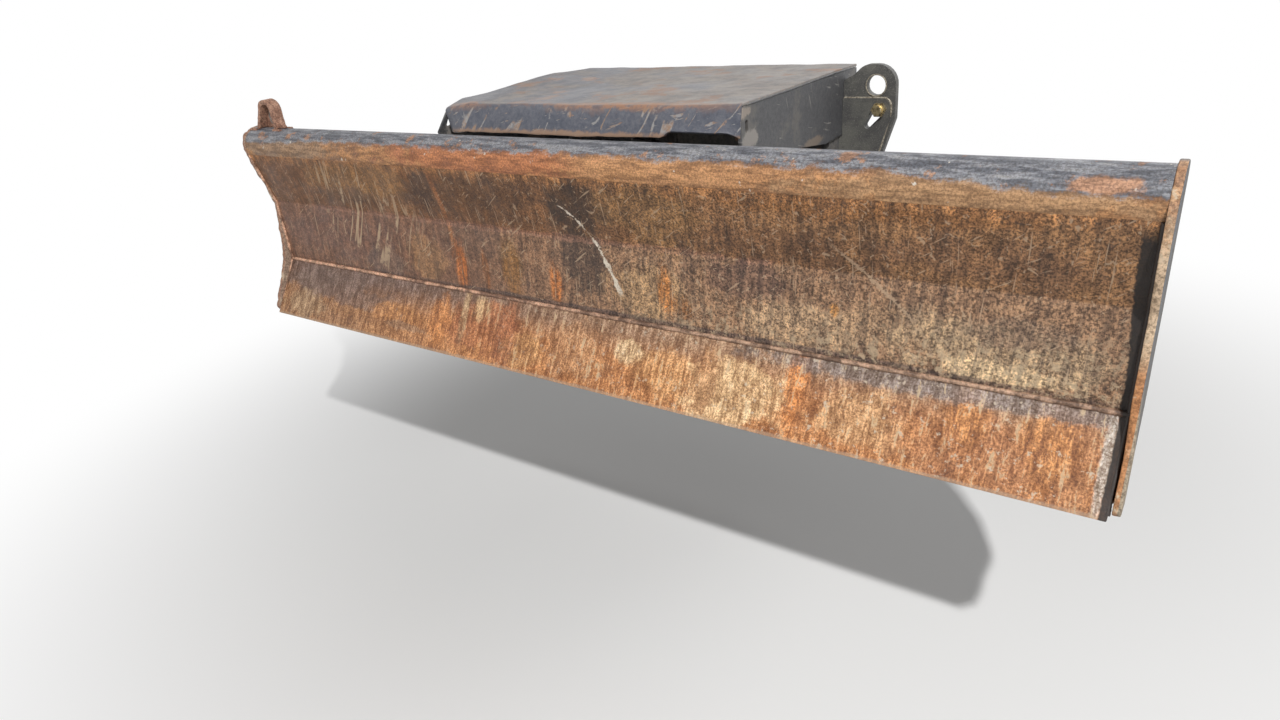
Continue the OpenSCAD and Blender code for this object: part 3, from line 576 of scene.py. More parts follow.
def ramp(value, low, high):
    """0 up to low, 1 from high on, and straight between; low may be the larger one."""
    return min(max((value - low) / (high - low), 0.0), 1.0)


def dented(x, y):
    """How far the cover's top is bent up from flat. Its left front corner is crushed down."""
    bow = 0.01 * math.exp(-((x + 0.44) / 0.16) ** 2 - ((y + 0.24) / 0.2) ** 2)
    front = 1 / (1 + ((y - ridge_y) / 0.09) ** 2)
    raised_ends = 0.007 * abs(x / cover_half) ** 5 - 0.002
    dents = 0.003 * noise.noise((x * 5.5, y * 5.5, 1.7)) + 0.0012 * noise.noise((x * 17, y * 17, 4.1))
    crushed = crush_depth * ramp(x, crush_x, -cover_half) * ramp(y, crush_y, ridge_y)
    return bow + raised_ends * front + dents - crushed


def on_fold(share):
    """Where the sheet's outer face lies, at a share of the way round the fold."""
    angle = math.radians(90 + fold_turn * share)
    return fold_centre + Vector((0, math.cos(angle), math.sin(angle))) * fold_radius


def cover_section(row):
    """Where a row of the sheet lies in the side view, and how far down the lip it is."""
    if row <= rows_flat:
        return Vector((0, cover_rear + (fold_centre.y - cover_rear) * row / rows_flat, cover_top_z)), 0.0
    if row <= rows_flat + rows_fold:
        return on_fold((row - rows_flat) / rows_fold), 0.0
    down = (row - rows_flat - rows_fold) / rows_lip
    return on_fold(1) + lip_direction * lip_length * down, down


rows = rows_flat + rows_fold + rows_lip
sheet = bmesh.new()
bmesh.ops.create_grid(sheet, x_segments=columns, y_segments=rows, size=0.5)
for vert in sheet.verts:
    x = vert.co.x * 2 * cover_half
    place, down = cover_section(round((vert.co.y + 0.5) * rows))
    corner = ramp(abs(x), 0.424, cover_half)
    notch = ramp(x, notch_x, notch_x + 0.02) * ramp(x, cover_half, cover_half - 0.03)
    wave = 0.0022 * noise.noise((x * 9, down * 0.5, 2.3)) + 0.001 * noise.noise((x * 31, down, 7.9))
    place.y += 0.012 * corner * down + wave * down * 2
    place.z += dented(x, place.y) * (1 - 0.5 * down) + notch_depth * notch * down ** 3 + wave * down ** 2
    vert.co = (x + 0.02 * ramp(x, -0.36, -cover_half) ** 2 * down, place.y, place.z)
bmesh.ops.recalc_face_normals(sheet, faces=sheet.faces)
if sum(face.normal.z for face in sheet.faces) < 0:
    bmesh.ops.reverse_faces(sheet, faces=sheet.faces)
bmesh.ops.solidify(sheet, geom=sheet.faces[:], thickness=sheet_t)
rims = [edge for edge in sheet.edges if edge.is_manifold and edge.calc_face_angle() > 1.2]
bmesh.ops.bevel(sheet, geom=rims, offset=0.0014, segments=2, profile=0.5, affect="EDGES", material=-1)

cover = Finish("cover_paint", roughness=0.5)
cover_cloud = cover.noise(4.2, 8, 0.7)
cover_grain = cover.noise(120, 5, 0.75)
cover_ragged = cover.noise(24, 8, 0.74)
cover_blue, cover_pale = (0.074, 0.08, 0.105), (0.225, 0.205, 0.19)
is_top = cover.grade(cover.z, cover_top_z - 0.016, cover_top_z - 0.005)
is_top = cover.times(is_top, cover.grade(cover.y, ridge_y - 0.002, ridge_y + 0.01))
cover.tone = cover.mix(cover.grade(cover_grain, 0.35, 0.65), cover_blue, (0.115, 0.122, 0.145))
faded = cover.linear(cover.x, 0.25, cover_cloud)
faded = cover.grade(faded, 0.4, 0.54, 0.3, 1.0)
cover.over(cover.times(is_top, faded), cover_pale)
cover.tinted(cover_ragged, 0.36, 0.62, (0.78, 0.8, 0.84), (1.22, 1.18, 1.14))
stain = cover.times(is_top, cover.grade(cover.noise(7, 8, 0.72), 0.55, 0.62, 0, 0.75))
cover.over(stain, (0.27, 0.155, 0.1))


def scratches(finish, scale, turn, low, high):
    """Thin scratches: the crests of a noise that is drawn out along one direction."""
    return finish.grade(finish.noise(1, 3, 0.55, finish.stretched(scale, turn), 0.25), low, high)


def hairlines(finish, scale, turn, count, width, broken):
    """Long crisp scratches: contour lines of a drawn-out noise, broken up by another value."""
    field = finish.noise(1, 2, 0.5, finish.stretched(scale, turn), 0.3)
    wave = finish.calc("PINGPONG", finish.times(field, count), 1.0)
    return finish.times(finish.grade(wave, width, width / 3), broken)


lip_broken = cover.grade(cover.noise(15, 5, 0.7), 0.46, 0.55)
lip_scratch = hairlines(cover, (15, 3, 2.6), (0, -0.55, 0), 13, 0.24, lip_broken)
lip_rub = scratches(cover, (16, 90, 90), (0, 0.25, 0), 0.62, 0.66)
top_scratch = scratches(cover, (120, 9, 20), (0, 0, 0.9), 0.66, 0.7)
top_cross = scratches(cover, (12, 110, 100), (0, 0, 0.3), 0.66, 0.7)
front_marks = cover.calc("MAXIMUM", lip_scratch, cover.times(lip_rub, 0.8))
top_marks = cover.calc("MAXIMUM", top_scratch, top_cross)
is_lip = cover.grade(cover.y, ridge_y + 0.006, ridge_y - 0.004)
mark_inputs = {0: is_lip, 2: cover.times(top_marks, 0.55), 3: front_marks}
cover_marks = cover.add("ShaderNodeMix", mark_inputs).outputs[0]
mark_colour = cover.mix(cover.grade(cover_ragged, 0.44, 0.56), (0.42, 0.4, 0.38), (0.38, 0.22, 0.12))
cover.over(cover_marks, mark_colour, 0.75)
for x, half_w, amount in ((0.13, 0.3, 0.95), (-0.4, 0.1, 0.8)):
    ridge_place = (x, ridge_y + 0.008, cover_top_z + 0.002)
    ridge_band = cover.patch(ridge_place, (half_w, 0.026, 0.018), cover_ragged, 0.4, 4.5)
    ridge_band = cover.times(ridge_band, cover.grade(cover_ragged, 0.42, 0.54, 0.25, amount))
    cover.over(ridge_band, (0.34, 0.18, 0.105))
lip_edge = cover.patch((0, ridge_y - 0.025, 0.412), (0.5, 0.05, 0.01), cover_ragged, 0.4, 4)
cover.over(lip_edge, (0.32, 0.2, 0.13), 0.9)
cover.roughness(cover.grade(cover_cloud, 0.35, 0.65, 0.4, 0.62))
cover.done(cover.calc("SUBTRACT", cover_grain, cover_marks), 0.0006)
make_piece("cover_sheet", sheet, cover, "bracket", ("cover_top",))


def fresh_copy(name):
    """A CAD node's mesh, merged and with its flat faces made whole again."""
    mesh = bmesh.new()
    mesh.from_mesh(nodes[name].data)
    bmesh.ops.remove_doubles(mesh, verts=mesh.verts, dist=0.00005)
    bmesh.ops.dissolve_limit(mesh, angle_limit=math.radians(0.5), verts=mesh.verts, edges=mesh.edges)
    return mesh


side_paint = Finish("cover_side_paint", roughness=0.5)
side_cloud = side_paint.noise(6, 7, 0.7)
side_grain = side_paint.noise(130, 5, 0.75)
side_ragged = side_paint.noise(30, 8, 0.74)
side_paint.tone = side_paint.mix(side_paint.grade(side_grain, 0.35, 0.65),
                                 (0.058, 0.058, 0.062), (0.092, 0.092, 0.096))
side_paint.over(side_paint.grade(side_cloud, 0.52, 0.64, 0, 0.55), (0.17, 0.155, 0.135))
for y, z, half_y, half_z, tint in ((-0.63, 0.405, 0.035, 0.022, (0.34, 0.31, 0.28)),
                                   (-0.665, 0.468, 0.03, 0.012, (0.36, 0.3, 0.25)),
                                   (-0.3, 0.33, 0.06, 0.012, (0.22, 0.17, 0.13))):
    scraped = side_paint.patch((0, y, z), (0, half_y, half_z), side_ragged)
    side_paint.over(scraped, tint, 0.8)
side_marks = side_paint.calc("MAXIMUM", scratches(side_paint, (10, 12, 120), (0.25, 0, 0), 0.67, 0.7),
                              scratches(side_paint, (10, 110, 12), (-0.3, 0, 0), 0.69, 0.72))
side_paint.over(side_marks, (0.33, 0.31, 0.29), 0.6)
side_paint.done(side_paint.calc("SUBTRACT", side_grain, side_marks), 0.0005)
for side in ("left", "right"):
    plate_mesh = fresh_copy("cover_side_" + side)
    for cut in range(1, side_slices):
        parts = plate_mesh.verts[:] + plate_mesh.edges[:] + plate_mesh.faces[:]
        bmesh.ops.bisect_plane(plate_mesh, geom=parts, plane_co=(0, -side_slice * cut, 0), plane_no=(0, 1, 0))
    for vert in plate_mesh.verts:
        vert.co.z += ramp(vert.co.z, 0.4, 0.47) * dented(math.copysign(cover_half, vert.co.x), vert.co.y)
        if side == "left":
            middle = ramp(vert.co.y, -0.05, -0.13) * ramp(vert.co.y, -0.64, -0.58)
            vert.co.z -= foot_drop * middle * ramp(vert.co.z, 0.43, 0.39)
            forward = ramp(vert.co.y, -0.575, -0.66)
            vert.co.x -= flap_flare * forward ** 1.5 * ramp(vert.co.z, 0.472, 0.407)
    corners = [edge for edge in plate_mesh.edges if edge.is_manifold and edge.calc_face_angle() > 1.0]
    bmesh.ops.bevel(plate_mesh, geom=corners, offset=0.0012, segments=1, profile=0.5,
                    affect="EDGES", material=-1)
    make_piece("cover_side_plate_" + side, plate_mesh, side_paint, "bracket",
               ("cover_side_" + side,))
cover_seams = []
for sign in (1, -1):
    seam = [(sign * (cover_half - seam_inset), y, seam_z + dented(sign * cover_half, y))
            for y in (-0.03 - seam_step * step for step in range(seam_steps))]
    cover_seams.append((0.0022, seam))
add_beads("cover_seams", side_paint, "bracket", cover_seams)


# Mouldboard
# The blade's face is one 12 mm plate, bent once below the tube. Work has scoured it
# bare: brown rust, sandy mottling near the foot, orange runs and pale slanting scratches.
fold_z = -0.0228
bend_z = 0.1762
tangent_z = 0.3465
face = Finish("scoured_rust", roughness=0.62)
face_ragged = face.noise(11, 10, 0.74)
face_grain = face.noise(210, 5, 0.75)
face_streak = face.noise(1, 8, 0.72, face.stretched((60, 30, 7), (0, -0.1, 0)), 0.4)
face_blot = face.noise(30, 10, 0.8)
upper = face.grade(face.z, bend_z - 0.004, bend_z + 0.004)
low_base = face.mix(face.grade(face.x, -0.7, 0.3), (0.225, 0.125, 0.088), (0.26, 0.16, 0.105))
high_base = face.mix(face.grade(face.x, -0.4, 0.9), (0.24, 0.125, 0.07), (0.3, 0.175, 0.1))
face.tone = face.mix(upper, low_base, high_base)
face.layer(face_ragged, [
    (-0.76, 0.29, 0.26, 0.06, (0.36, 0.205, 0.095), 0.9),
    (-0.84, 0.225, 0.14, 0.03, (0.19, 0.11, 0.07), 0.8),
    (-0.6, 0.215, 0.06, 0.03, (0.36, 0.2, 0.105), 0.8),
    (-0.47, 0.265, 0.09, 0.06, (0.12, 0.066, 0.042), 0.9),
    (-0.24, 0.275, 0.22, 0.08, (0.165, 0.09, 0.052), 0.85),
    (0.065, 0.285, 0.07, 0.085, (0.08, 0.046, 0.03), 0.95),
    (0.28, 0.27, 0.13, 0.09, (0.285, 0.17, 0.085), 0.8),
    (0.62, 0.215, 0.24, 0.045, (0.19, 0.105, 0.062), 0.85),
    (0.72, 0.32, 0.34, 0.028, (0.3, 0.15, 0.065), 0.8),
    (1.0, 0.235, 0.2, 0.045, (0.23, 0.13, 0.08), 0.7),
    (-0.95, 0.1, 0.28, 0.07, (0.205, 0.115, 0.088), 0.8),
    (-0.56, 0.055, 0.085, 0.07, (0.33, 0.19, 0.105), 0.9),
    (-0.72, 0.03, 0.1, 0.04, (0.185, 0.125, 0.105), 0.7),
    (-0.37, 0.12, 0.1, 0.06, (0.18, 0.108, 0.078), 0.7),
    (-0.2, 0.1, 0.045, 0.06, (0.32, 0.2, 0.11), 0.7),
    (0.05, 0.12, 0.06, 0.075, (0.085, 0.054, 0.041), 0.9),
    (0.23, 0.06, 0.1, 0.07, (0.39, 0.26, 0.155), 0.85),
    (0.5, 0.125, 0.13, 0.045, (0.15, 0.09, 0.07), 0.8),
    (0.63, 0.045, 0.15, 0.05, (0.41, 0.285, 0.19), 0.9),
    (0.86, 0.07, 0.12, 0.05, (0.33, 0.22, 0.145), 0.8),
    (1.03, 0.06, 0.17, 0.055, (0.4, 0.295, 0.2), 0.85),
    (1.03, 0.012, 0.16, 0.024, (0.56, 0.43, 0.29), 0.9),
    (1.06, 0.095, 0.1, 0.03, (0.17, 0.11, 0.085), 0.7),
])
face.runs(face_blot, face_streak, 0.15, [
    (-0.41, 0.055, 0.026, 0.075, (0.46, 0.165, 0.055), 1.0),
    (-0.425, 0.215, 0.01, 0.15, (0.36, 0.165, 0.08), 0.8),
    (-0.31, 0.05, 0.011, 0.055, (0.36, 0.15, 0.06), 0.9),
    (-0.21, 0.055, 0.034, 0.08, (0.26, 0.125, 0.038), 0.8),
    (-0.055, 0.04, 0.02, 0.06, (0.44, 0.17, 0.06), 1.0),
    (0.29, 0.07, 0.022, 0.062, (0.5, 0.215, 0.07), 1.0),
    (0.335, 0.04, 0.025, 0.03, (0.22, 0.1, 0.04), 0.8),
    (0.71, 0.09, 0.011, 0.013, (0.48, 0.24, 0.08), 1.0),
])
rust_end = face.linear(face_streak, 0.05, face.linear(face_blot, 0.06, face.z))
tube_rust = face.grade(rust_end, tangent_z + 0.02, tangent_z + 0.06)
face.over(tube_rust, (0.47, 0.245, 0.12), 0.9)
face.multiply(face.mix(upper, (0.78, 0.72, 0.65), (0.64, 0.56, 0.46)))
bend_line = face.patch((-0.35, 0, bend_z), (0.95, 0, 0.009), face_ragged)
face.over(bend_line, (0.3, 0.15, 0.105), 0.35)
dark_fold = face.patch((0.3, 0, fold_z + 0.01), (1.1, 0, 0.009), face_ragged, 0.3, 1.5)
face.over(dark_fold, (0.085, 0.055, 0.048), 0.8)
rough_end = face.grade(face.x, -0.6, 0.4)
# Columns: value, low, high, dark at the left and right end, bright at the left and right end
for value, low, high, *ends in (
        (face_streak, 0.38, 0.6, (0.76, 0.77, 0.8), (0.62, 0.62, 0.64),
         (1.26, 1.25, 1.2), (1.46, 1.45, 1.36)),
        (face_blot, 0.42, 0.57, (0.76, 0.76, 0.78), (0.74, 0.73, 0.74),
         (1.24, 1.24, 1.22), (1.24, 1.25, 1.24)),
        (face_grain, 0.42, 0.57, (0.66, 0.66, 0.67), (0.4, 0.38, 0.38),
         (1.32, 1.32, 1.3), (1.75, 1.8, 1.8))):
    face.tinted(value, low, high, face.mix(rough_end, *ends[:2]), face.mix(rough_end, *ends[2:]))
height_on_right = face.linear(face.x, -0.06, face.z)
fleck = face.noise(70, 6, 0.75)
sandy = face.times(face.grade(height_on_right, 0.1, -0.06), face.grade(fleck, 0.49, 0.58, 0, 0.75))
sandy = face.times(sandy, face.grade(face_ragged, 0.44, 0.54, 0.1, 1))
sandy = face.times(sandy, face.grade(face.x, 0.1, 0.5, 0.15, 1))
face.over(sandy, (0.56, 0.43, 0.28))
pits = face.times(face.grade(fleck, 0.41, 0.36), face.grade(face.x, -0.5, 0.5, 0.2, 0.55))
face.over(pits, (0.055, 0.038, 0.032))

slant_zone = face.patch((-0.8, 0, 0.165), (0.24, 0, 0.19), face_ragged, 0.35, 1.6)
slant_broken = face.times(slant_zone, face.grade(face.noise(11, 5, 0.7), 0.45, 0.53))
slanting = hairlines(face, (15, 0, 1.5), (0, -0.42, 0), 13, 0.3, slant_broken)
upright = scratches(face, (150, 0, 8), (0, -0.06, 0), 0.64, 0.675)
crossing = scratches(face, (14, 0, 150), (0, 0.6, 0), 0.645, 0.675)
nick_broken = face.grade(face.noise(60, 3, 0.6), 0.55, 0.6)
nick_broken = face.times(nick_broken, face.grade(face.x, -0.6, 0.0, 0.35, 1))
nicks = hairlines(face, (24, 0, 34), (0, -0.7, 0), 8, 0.2, nick_broken)
other_marks = face.calc("MAXIMUM", face.calc("MAXIMUM", upright, crossing), nicks)
scratch_mask = face.calc("MAXIMUM", slanting, face.times(other_marks, 0.75))
fall = face.calc("DIVIDE", face.calc("SUBTRACT", 0.268, face.z), 0.232)
curve_x = face.times(face.calc("POWER", face.calc("MAXIMUM", fall, 0.0), 0.6), 0.16)
off_curve = face.calc("ABSOLUTE", face.calc("SUBTRACT", face.x, curve_x))
off_curve = face.calc("ADD", off_curve, face.times(face.calc("SUBTRACT", face_blot, 0.5), 0.06))
gouge = face.grade(face.calc("SUBTRACT", off_curve, face.times(fall, 0.0045)), 0.0, 0.0025, 1, 0)
gouge = face.times(gouge, face.grade(face_grain, 0.38, 0.5, 0.35, 1))
gouge = face.times(gouge, face.times(face.grade(fall, 0, 0.03), face.grade(fall, 0.9, 1.0, 1, 0)))
drag_x = face.linear(face.calc("SUBTRACT", 0.245, face.z), 1.15, 0.7)
off_drag = face.calc("ABSOLUTE", face.calc("SUBTRACT", face.x, drag_x))
drag = face.grade(face.linear(face_grain, -0.05, off_drag), -0.022, -0.018, 1, 0)
drag = face.times(drag, face.patch((0.8, 0, 0.165), (0.13, 0, 0.09), face_ragged, 0.2, 1.0))
scratch_mask = face.calc("MAXIMUM", scratch_mask, face.calc("MAXIMUM", gouge, face.times(drag, 0.8)))
face.over(scratch_mask, (0.5, 0.36, 0.235), 0.85)
face.over(gouge, (0.8, 0.72, 0.6), 0.9)
# Painted shadow: a near-black strip along the face's right end, below the tube, where the end plate's cast
# shadow falls.
corner = face.linear(face_blot, 0.03, face.x)
corner = face.calc("ADD", corner, face.grade(face.z, 0.05, 0.22, -0.004, 0.006))
corner = face.times(face.grade(corner, 1.253, 1.257), face.grade(face.z, 0.335, 0.3, 0, 0.97))
face.over(corner, (0.012, 0.009, 0.008))
lean = face.times(face.calc("MAXIMUM", face.calc("SUBTRACT", face.z, bend_z), 0.0), 0.278)
rear = face.grade(face.calc("ADD", face.y, lean), -0.758, -0.756)
rear_paint = face.mix(face.grade(face_blot, 0.42, 0.6), (0.07, 0.067, 0.066), (0.135, 0.122, 0.108))
face.over(rear, rear_paint)
face.roughness(face.grade(face_ragged, 0.35, 0.65, 0.5, 0.75))
face_height = face.calc("SUBTRACT", face.calc("ADD", face_grain, face_blot), face.times(scratch_mask, 0.5))
face.done(face_height, 0.0014)
face.paint("mouldboard")


# Top tube
# A thick-walled tube along the blade's upper edge. Its top still has its blue-grey
# paint, rubbed pale; below that it is a band of orange rust.
tube_y, tube_z = -0.76, 0.3622
tube = Finish("tube_rust_and_paint", roughness=0.55)
tube_ragged = tube.noise(16, 10, 0.75)
tube_grain = tube.noise(200, 5, 0.78)
tube_flow = tube.noise(1, 7, 0.7, tube.stretched((14, 75, 75)))
tube.tone = tube.mix(tube.grade(tube_ragged, 0.38, 0.6), (0.23, 0.105, 0.045), (0.4, 0.2, 0.085))
tube.layer(tube_ragged, [
    (-0.22, 0.375, 0.34, 0.05, (0.36, 0.13, 0.052), 0.8),
    (0.32, 0.38, 0.24, 0.05, (0.42, 0.215, 0.095), 0.7),
    (-1.05, 0.37, 0.24, 0.03, (0.25, 0.16, 0.095), 0.8),
    (0.95, 0.36, 0.3, 0.03, (0.34, 0.2, 0.1), 0.8),
])
tube_paint_colour = tube.mix(tube.grade(tube_flow, 0.4, 0.62), (0.105, 0.112, 0.135), (0.185, 0.18, 0.182))
paint_line = tube.linear(tube_ragged, 0.06, tube.z)
paint_line = tube.calc("ADD", paint_line, tube.grade(tube.x, 0.75, 1.15, 0, 0.018))
paint_line = tube.calc("ADD", paint_line, tube.grade(tube.x, -0.85, -1.2, 0, 0.012))
paint_line = tube.linear(tube_grain, 0.02, tube.linear(tube_flow, 0.03, paint_line))
painted = tube.grade(paint_line, tube_z + 0.082, tube_z + 0.092)
painted = tube.calc("MAXIMUM", painted, tube.grade(tube.y, tube_y + 0.012, tube_y + 0.03))
tube.over(painted, tube_paint_colour)
blotch = tube.times(painted, tube.grade(tube_ragged, 0.57, 0.61, 0, 0.85))
tube.over(blotch, (0.33, 0.175, 0.1))
corner_rust = tube.patch((1.17, tube_y - 0.04, tube_z + 0.028), (0.055, 0.05, 0.012), tube_ragged)
tube.over(corner_rust, (0.36, 0.175, 0.085), 0.85)
tube.tinted(tube_flow, 0.4, 0.58, (0.7, 0.67, 0.64), (1.32, 1.34, 1.36))
tube.tinted(tube_grain, 0.42, 0.57, (0.7, 0.68, 0.67), (1.32, 1.34, 1.36))
rub = tube.times(painted, tube.grade(tube_flow, 0.62, 0.68, 0, 0.4))
tube.over(rub, (0.38, 0.36, 0.34))
flecks = tube.times(tube.grade(tube.noise(30, 5, 0.7), 0.66, 0.69), 0.9)
tube.over(flecks, (0.66, 0.6, 0.52))
tube.roughness(tube.grade(tube_ragged, 0.35, 0.65, 0.42, 0.68))
tube.done(tube.calc("ADD", tube_grain, tube.times(painted, 0.4)), 0.0012)
tube.paint("top_tube")


# Lower plate
# A 25 mm wear plate below the fold, scoured bright by work: orange and tan rust with a
# fine upright grain, grey-brown at its left end and paler at the cutting edge.
edge_z = -0.1858
plate = Finish("bright_orange_rust", roughness=0.58)
plate_ragged = plate.noise(10, 10, 0.75)
plate_grain = plate.noise(210, 5, 0.75)
plate_streak = plate.noise(1, 8, 0.74, plate.stretched((85, 22, 13)), 0.4)
plate_blot = plate.noise(28, 10, 0.8)
high_tint = plate.mix(plate.grade(plate.x, -0.8, 0.4), (0.145, 0.085, 0.062), (0.3, 0.17, 0.096))
low_tint = plate.mix(plate.grade(plate.x, -1.0, -0.2), (0.3, 0.145, 0.065), (0.43, 0.18, 0.065))
falling = plate.linear(plate_blot, 0.09, plate.z)
plate.tone = plate.mix(plate.grade(falling, -0.075, 0.01), low_tint, high_tint)
plate.layer(plate_ragged, [
    (-1.05, -0.07, 0.22, 0.04, (0.145, 0.088, 0.064), 0.9),
    (-1.13, -0.14, 0.1, 0.035, (0.33, 0.2, 0.105), 0.8),
    (-0.86, -0.1, 0.2, 0.025, (0.175, 0.1, 0.068), 0.8),
    (-0.66, -0.12, 0.12, 0.03, (0.38, 0.165, 0.058), 0.9),
    (-0.63, -0.142, 0.1, 0.01, (0.27, 0.15, 0.085), 0.7),
    (-0.3, -0.105, 0.17, 0.055, (0.34, 0.125, 0.048), 0.9),
    (-0.14, -0.13, 0.07, 0.04, (0.46, 0.23, 0.09), 0.8),
    (0.02, -0.11, 0.1, 0.06, (0.39, 0.19, 0.085), 0.7),
    (0.2, -0.085, 0.05, 0.025, (0.56, 0.37, 0.2), 0.9),
    (0.3, -0.12, 0.09, 0.05, (0.52, 0.26, 0.105), 0.8),
    (0.5, -0.125, 0.13, 0.06, (0.6, 0.375, 0.19), 0.95),
    (0.8, -0.12, 0.1, 0.05, (0.46, 0.25, 0.115), 0.8),
    (1.02, -0.125, 0.16, 0.06, (0.34, 0.14, 0.055), 0.85),
    (1.2, -0.11, 0.05, 0.07, (0.33, 0.14, 0.055), 0.8),
])
plate.runs(plate_blot, plate_streak, 0.2, [
    (-0.48, -0.11, 0.045, 0.06, (0.44, 0.17, 0.055), 0.9),
    (-0.39, -0.08, 0.014, 0.07, (0.4, 0.25, 0.13), 0.8),
    (-0.33, -0.06, 0.03, 0.03, (0.44, 0.27, 0.13), 0.8),
    (-0.21, -0.1, 0.03, 0.08, (0.3, 0.1, 0.038), 0.8),
    (0.64, -0.08, 0.026, 0.095, (0.48, 0.175, 0.05), 1.0),
    (0.42, -0.11, 0.03, 0.07, (0.4, 0.19, 0.08), 0.8),
    (1.0, -0.07, 0.04, 0.05, (0.46, 0.19, 0.06), 0.9),
    (1.15, -0.085, 0.05, 0.06, (0.46, 0.19, 0.06), 0.9),
])
grey_band = plate.patch((0.93, 0, -0.036), (0.38, 0, 0.02), plate_blot)
plate.over(grey_band, (0.19, 0.155, 0.14), 0.75)
bare_strip = plate.patch((1.241, 0, -0.105), (0.01, 0, 0.085), plate_blot, 0.3, 2.0)
plate.over(bare_strip, (0.42, 0.36, 0.3), 0.85)
plate.tinted(plate_streak, 0.39, 0.6, (0.66, 0.58, 0.5), (1.45, 1.55, 1.62))
plate.tinted(plate_blot, 0.42, 0.58, (0.76, 0.72, 0.68), (1.24, 1.28, 1.34))
plate.tinted(plate_grain, 0.42, 0.57, (0.62, 0.55, 0.5), (1.36, 1.44, 1.52))
pale_streak = plate.grade(plate_streak, 0.57, 0.61)
pale_streak = plate.times(pale_streak, plate.grade(plate.x, -0.7, 0.1, 0.06, 0.8))
plate.over(pale_streak, (0.6, 0.44, 0.27))
white_fleck = plate.grade(plate.noise(55, 6, 0.75), 0.6, 0.63)
white_fleck = plate.times(white_fleck, plate.grade(plate.x, -0.5, 0.7, 0.2, 1))
plate.over(white_fleck, (0.6, 0.5, 0.38), 0.8)
worn_edge = plate.patch((0, 0, edge_z), (3, 0, 0.007), plate_blot, 0.3, 1.5)
plate.over(worn_edge, (0.46, 0.33, 0.23), 0.5)
# Painted shadow: the lower plate's right end, beside the end plate, is painted near-black.
plate_painted_shadow = plate.grade(plate.linear(plate_blot, 0.01, plate.x), 1.251, 1.254, 0, 0.96)
plate.over(plate_painted_shadow, (0.012, 0.009, 0.008))
plate.roughness(plate.grade(plate_ragged, 0.35, 0.65, 0.48, 0.7))
plate.done(plate.calc("ADD", plate_grain, plate_streak), 0.0013)
plate.paint("lower_plate", broken=0.0022)


# Fold bead
# The long fillet weld where the mouldboard stands on the lower plate. It is uneven, and
# its crest is rubbed bare, pink-grey at the left and brown at the right.
bead = Finish("worn_bead", roughness=0.55)
bead_ragged = bead.noise(20, 8, 0.74)
bead_grain = bead.noise(190, 5, 0.75)
bead.tone = bead.mix(bead.grade(bead.x, -0.5, 0.5), (0.42, 0.25, 0.17), (0.28, 0.18, 0.125))
bead.tinted(bead_ragged, 0.42, 0.57, (0.42, 0.38, 0.36), (1.45, 1.45, 1.42))
bead.tinted(bead_grain, 0.36, 0.62, (0.6, 0.58, 0.56), (1.5, 1.5, 1.5))
# Painted shadow: the bead's right end, in the end plate's corner, is painted near-black.
bead.over(bead.grade(bead.x, 1.246, 1.252), (0.03, 0.022, 0.018))
bead.done(bead_grain, 0.0008)
inner_half = 1.261
add_beads("fold_bead", bead, "blade",
          [(0.005, [(-inner_half, -0.7672, -0.0212), (inner_half, -0.7672, -0.0212)])])


# Blade back
# A folded beam closes the back of the blade to a box. Ribs brace it to the mouldboard and
# the tube, and two pairs of thick tower plates carry the pins. All in dark grey paint.
back_finish = frame_finish("blade_back_paint", (0.105, 0.1, 0.098), 0.6, 1.0)
back_finish.paint("back_beam", "back_ribs", "tower_plates", broken=0.0016)
rib_x = (0, 0.7314, 1.0214)
rib_side = 0.0055
tower_faces = (0.2795, 0.3025, 0.4345, 0.4565)
under_tube = [(tube_y + 0.057 * math.cos(math.radians(a)), tube_z + 0.057 * math.sin(math.radians(a)))
              for a in range(-122, -50, 12)]
rib_line = [(-0.667, 0.1115), (-0.7505, 0.145), (-0.7505, 0.1762), (-0.789, 0.3145)] + under_tube
tower_line = [(-0.6635, -0.09), (-0.6635, 0.111), (-0.75, 0.1455), (-0.7505, 0.1762), (-0.775, 0.262)]
back_runs = [(0.0045, [(x + offset, y, z) for y, z in rib_line])
             for x in rib_x for offset in (-rib_side, rib_side)]
back_runs += [(0.0055, [(x, y, z) for y, z in tower_line]) for x in tower_faces]
back_runs += [(0.005, [(0, y, z), (inner_half, y, z)])
              for y, z in ((-0.7508, 0.1475), (-0.7925, 0.3145), (-0.8355, -0.1735))]
end_seam = [(-0.826, -0.17), (-0.6635, -0.098), (-0.6635, 0.11), (-0.7505, 0.1455), (-0.7505, 0.1762),
            (-0.789, 0.3145)]
back_runs.append((0.0055, [(inner_half - 0.001, y, z) for y, z in end_seam]))
add_beads("blade_back_welds", back_finish, "blade", both_sides(back_runs))


# End plates
# 14 mm plates that close both ends of the blade and stand out in front of its face. Their
# front edges are battered and rusted orange and sandy; the rest is scoured dark, and the right plate's inner
# face is painted near-black as shade.
# Columns: height of a dent's middle, its reach up and down, and its depth
right_dents = ((0.235, 0.09, 0.022), (0.06, 0.12, 0.012))
foot_bend = 0.005
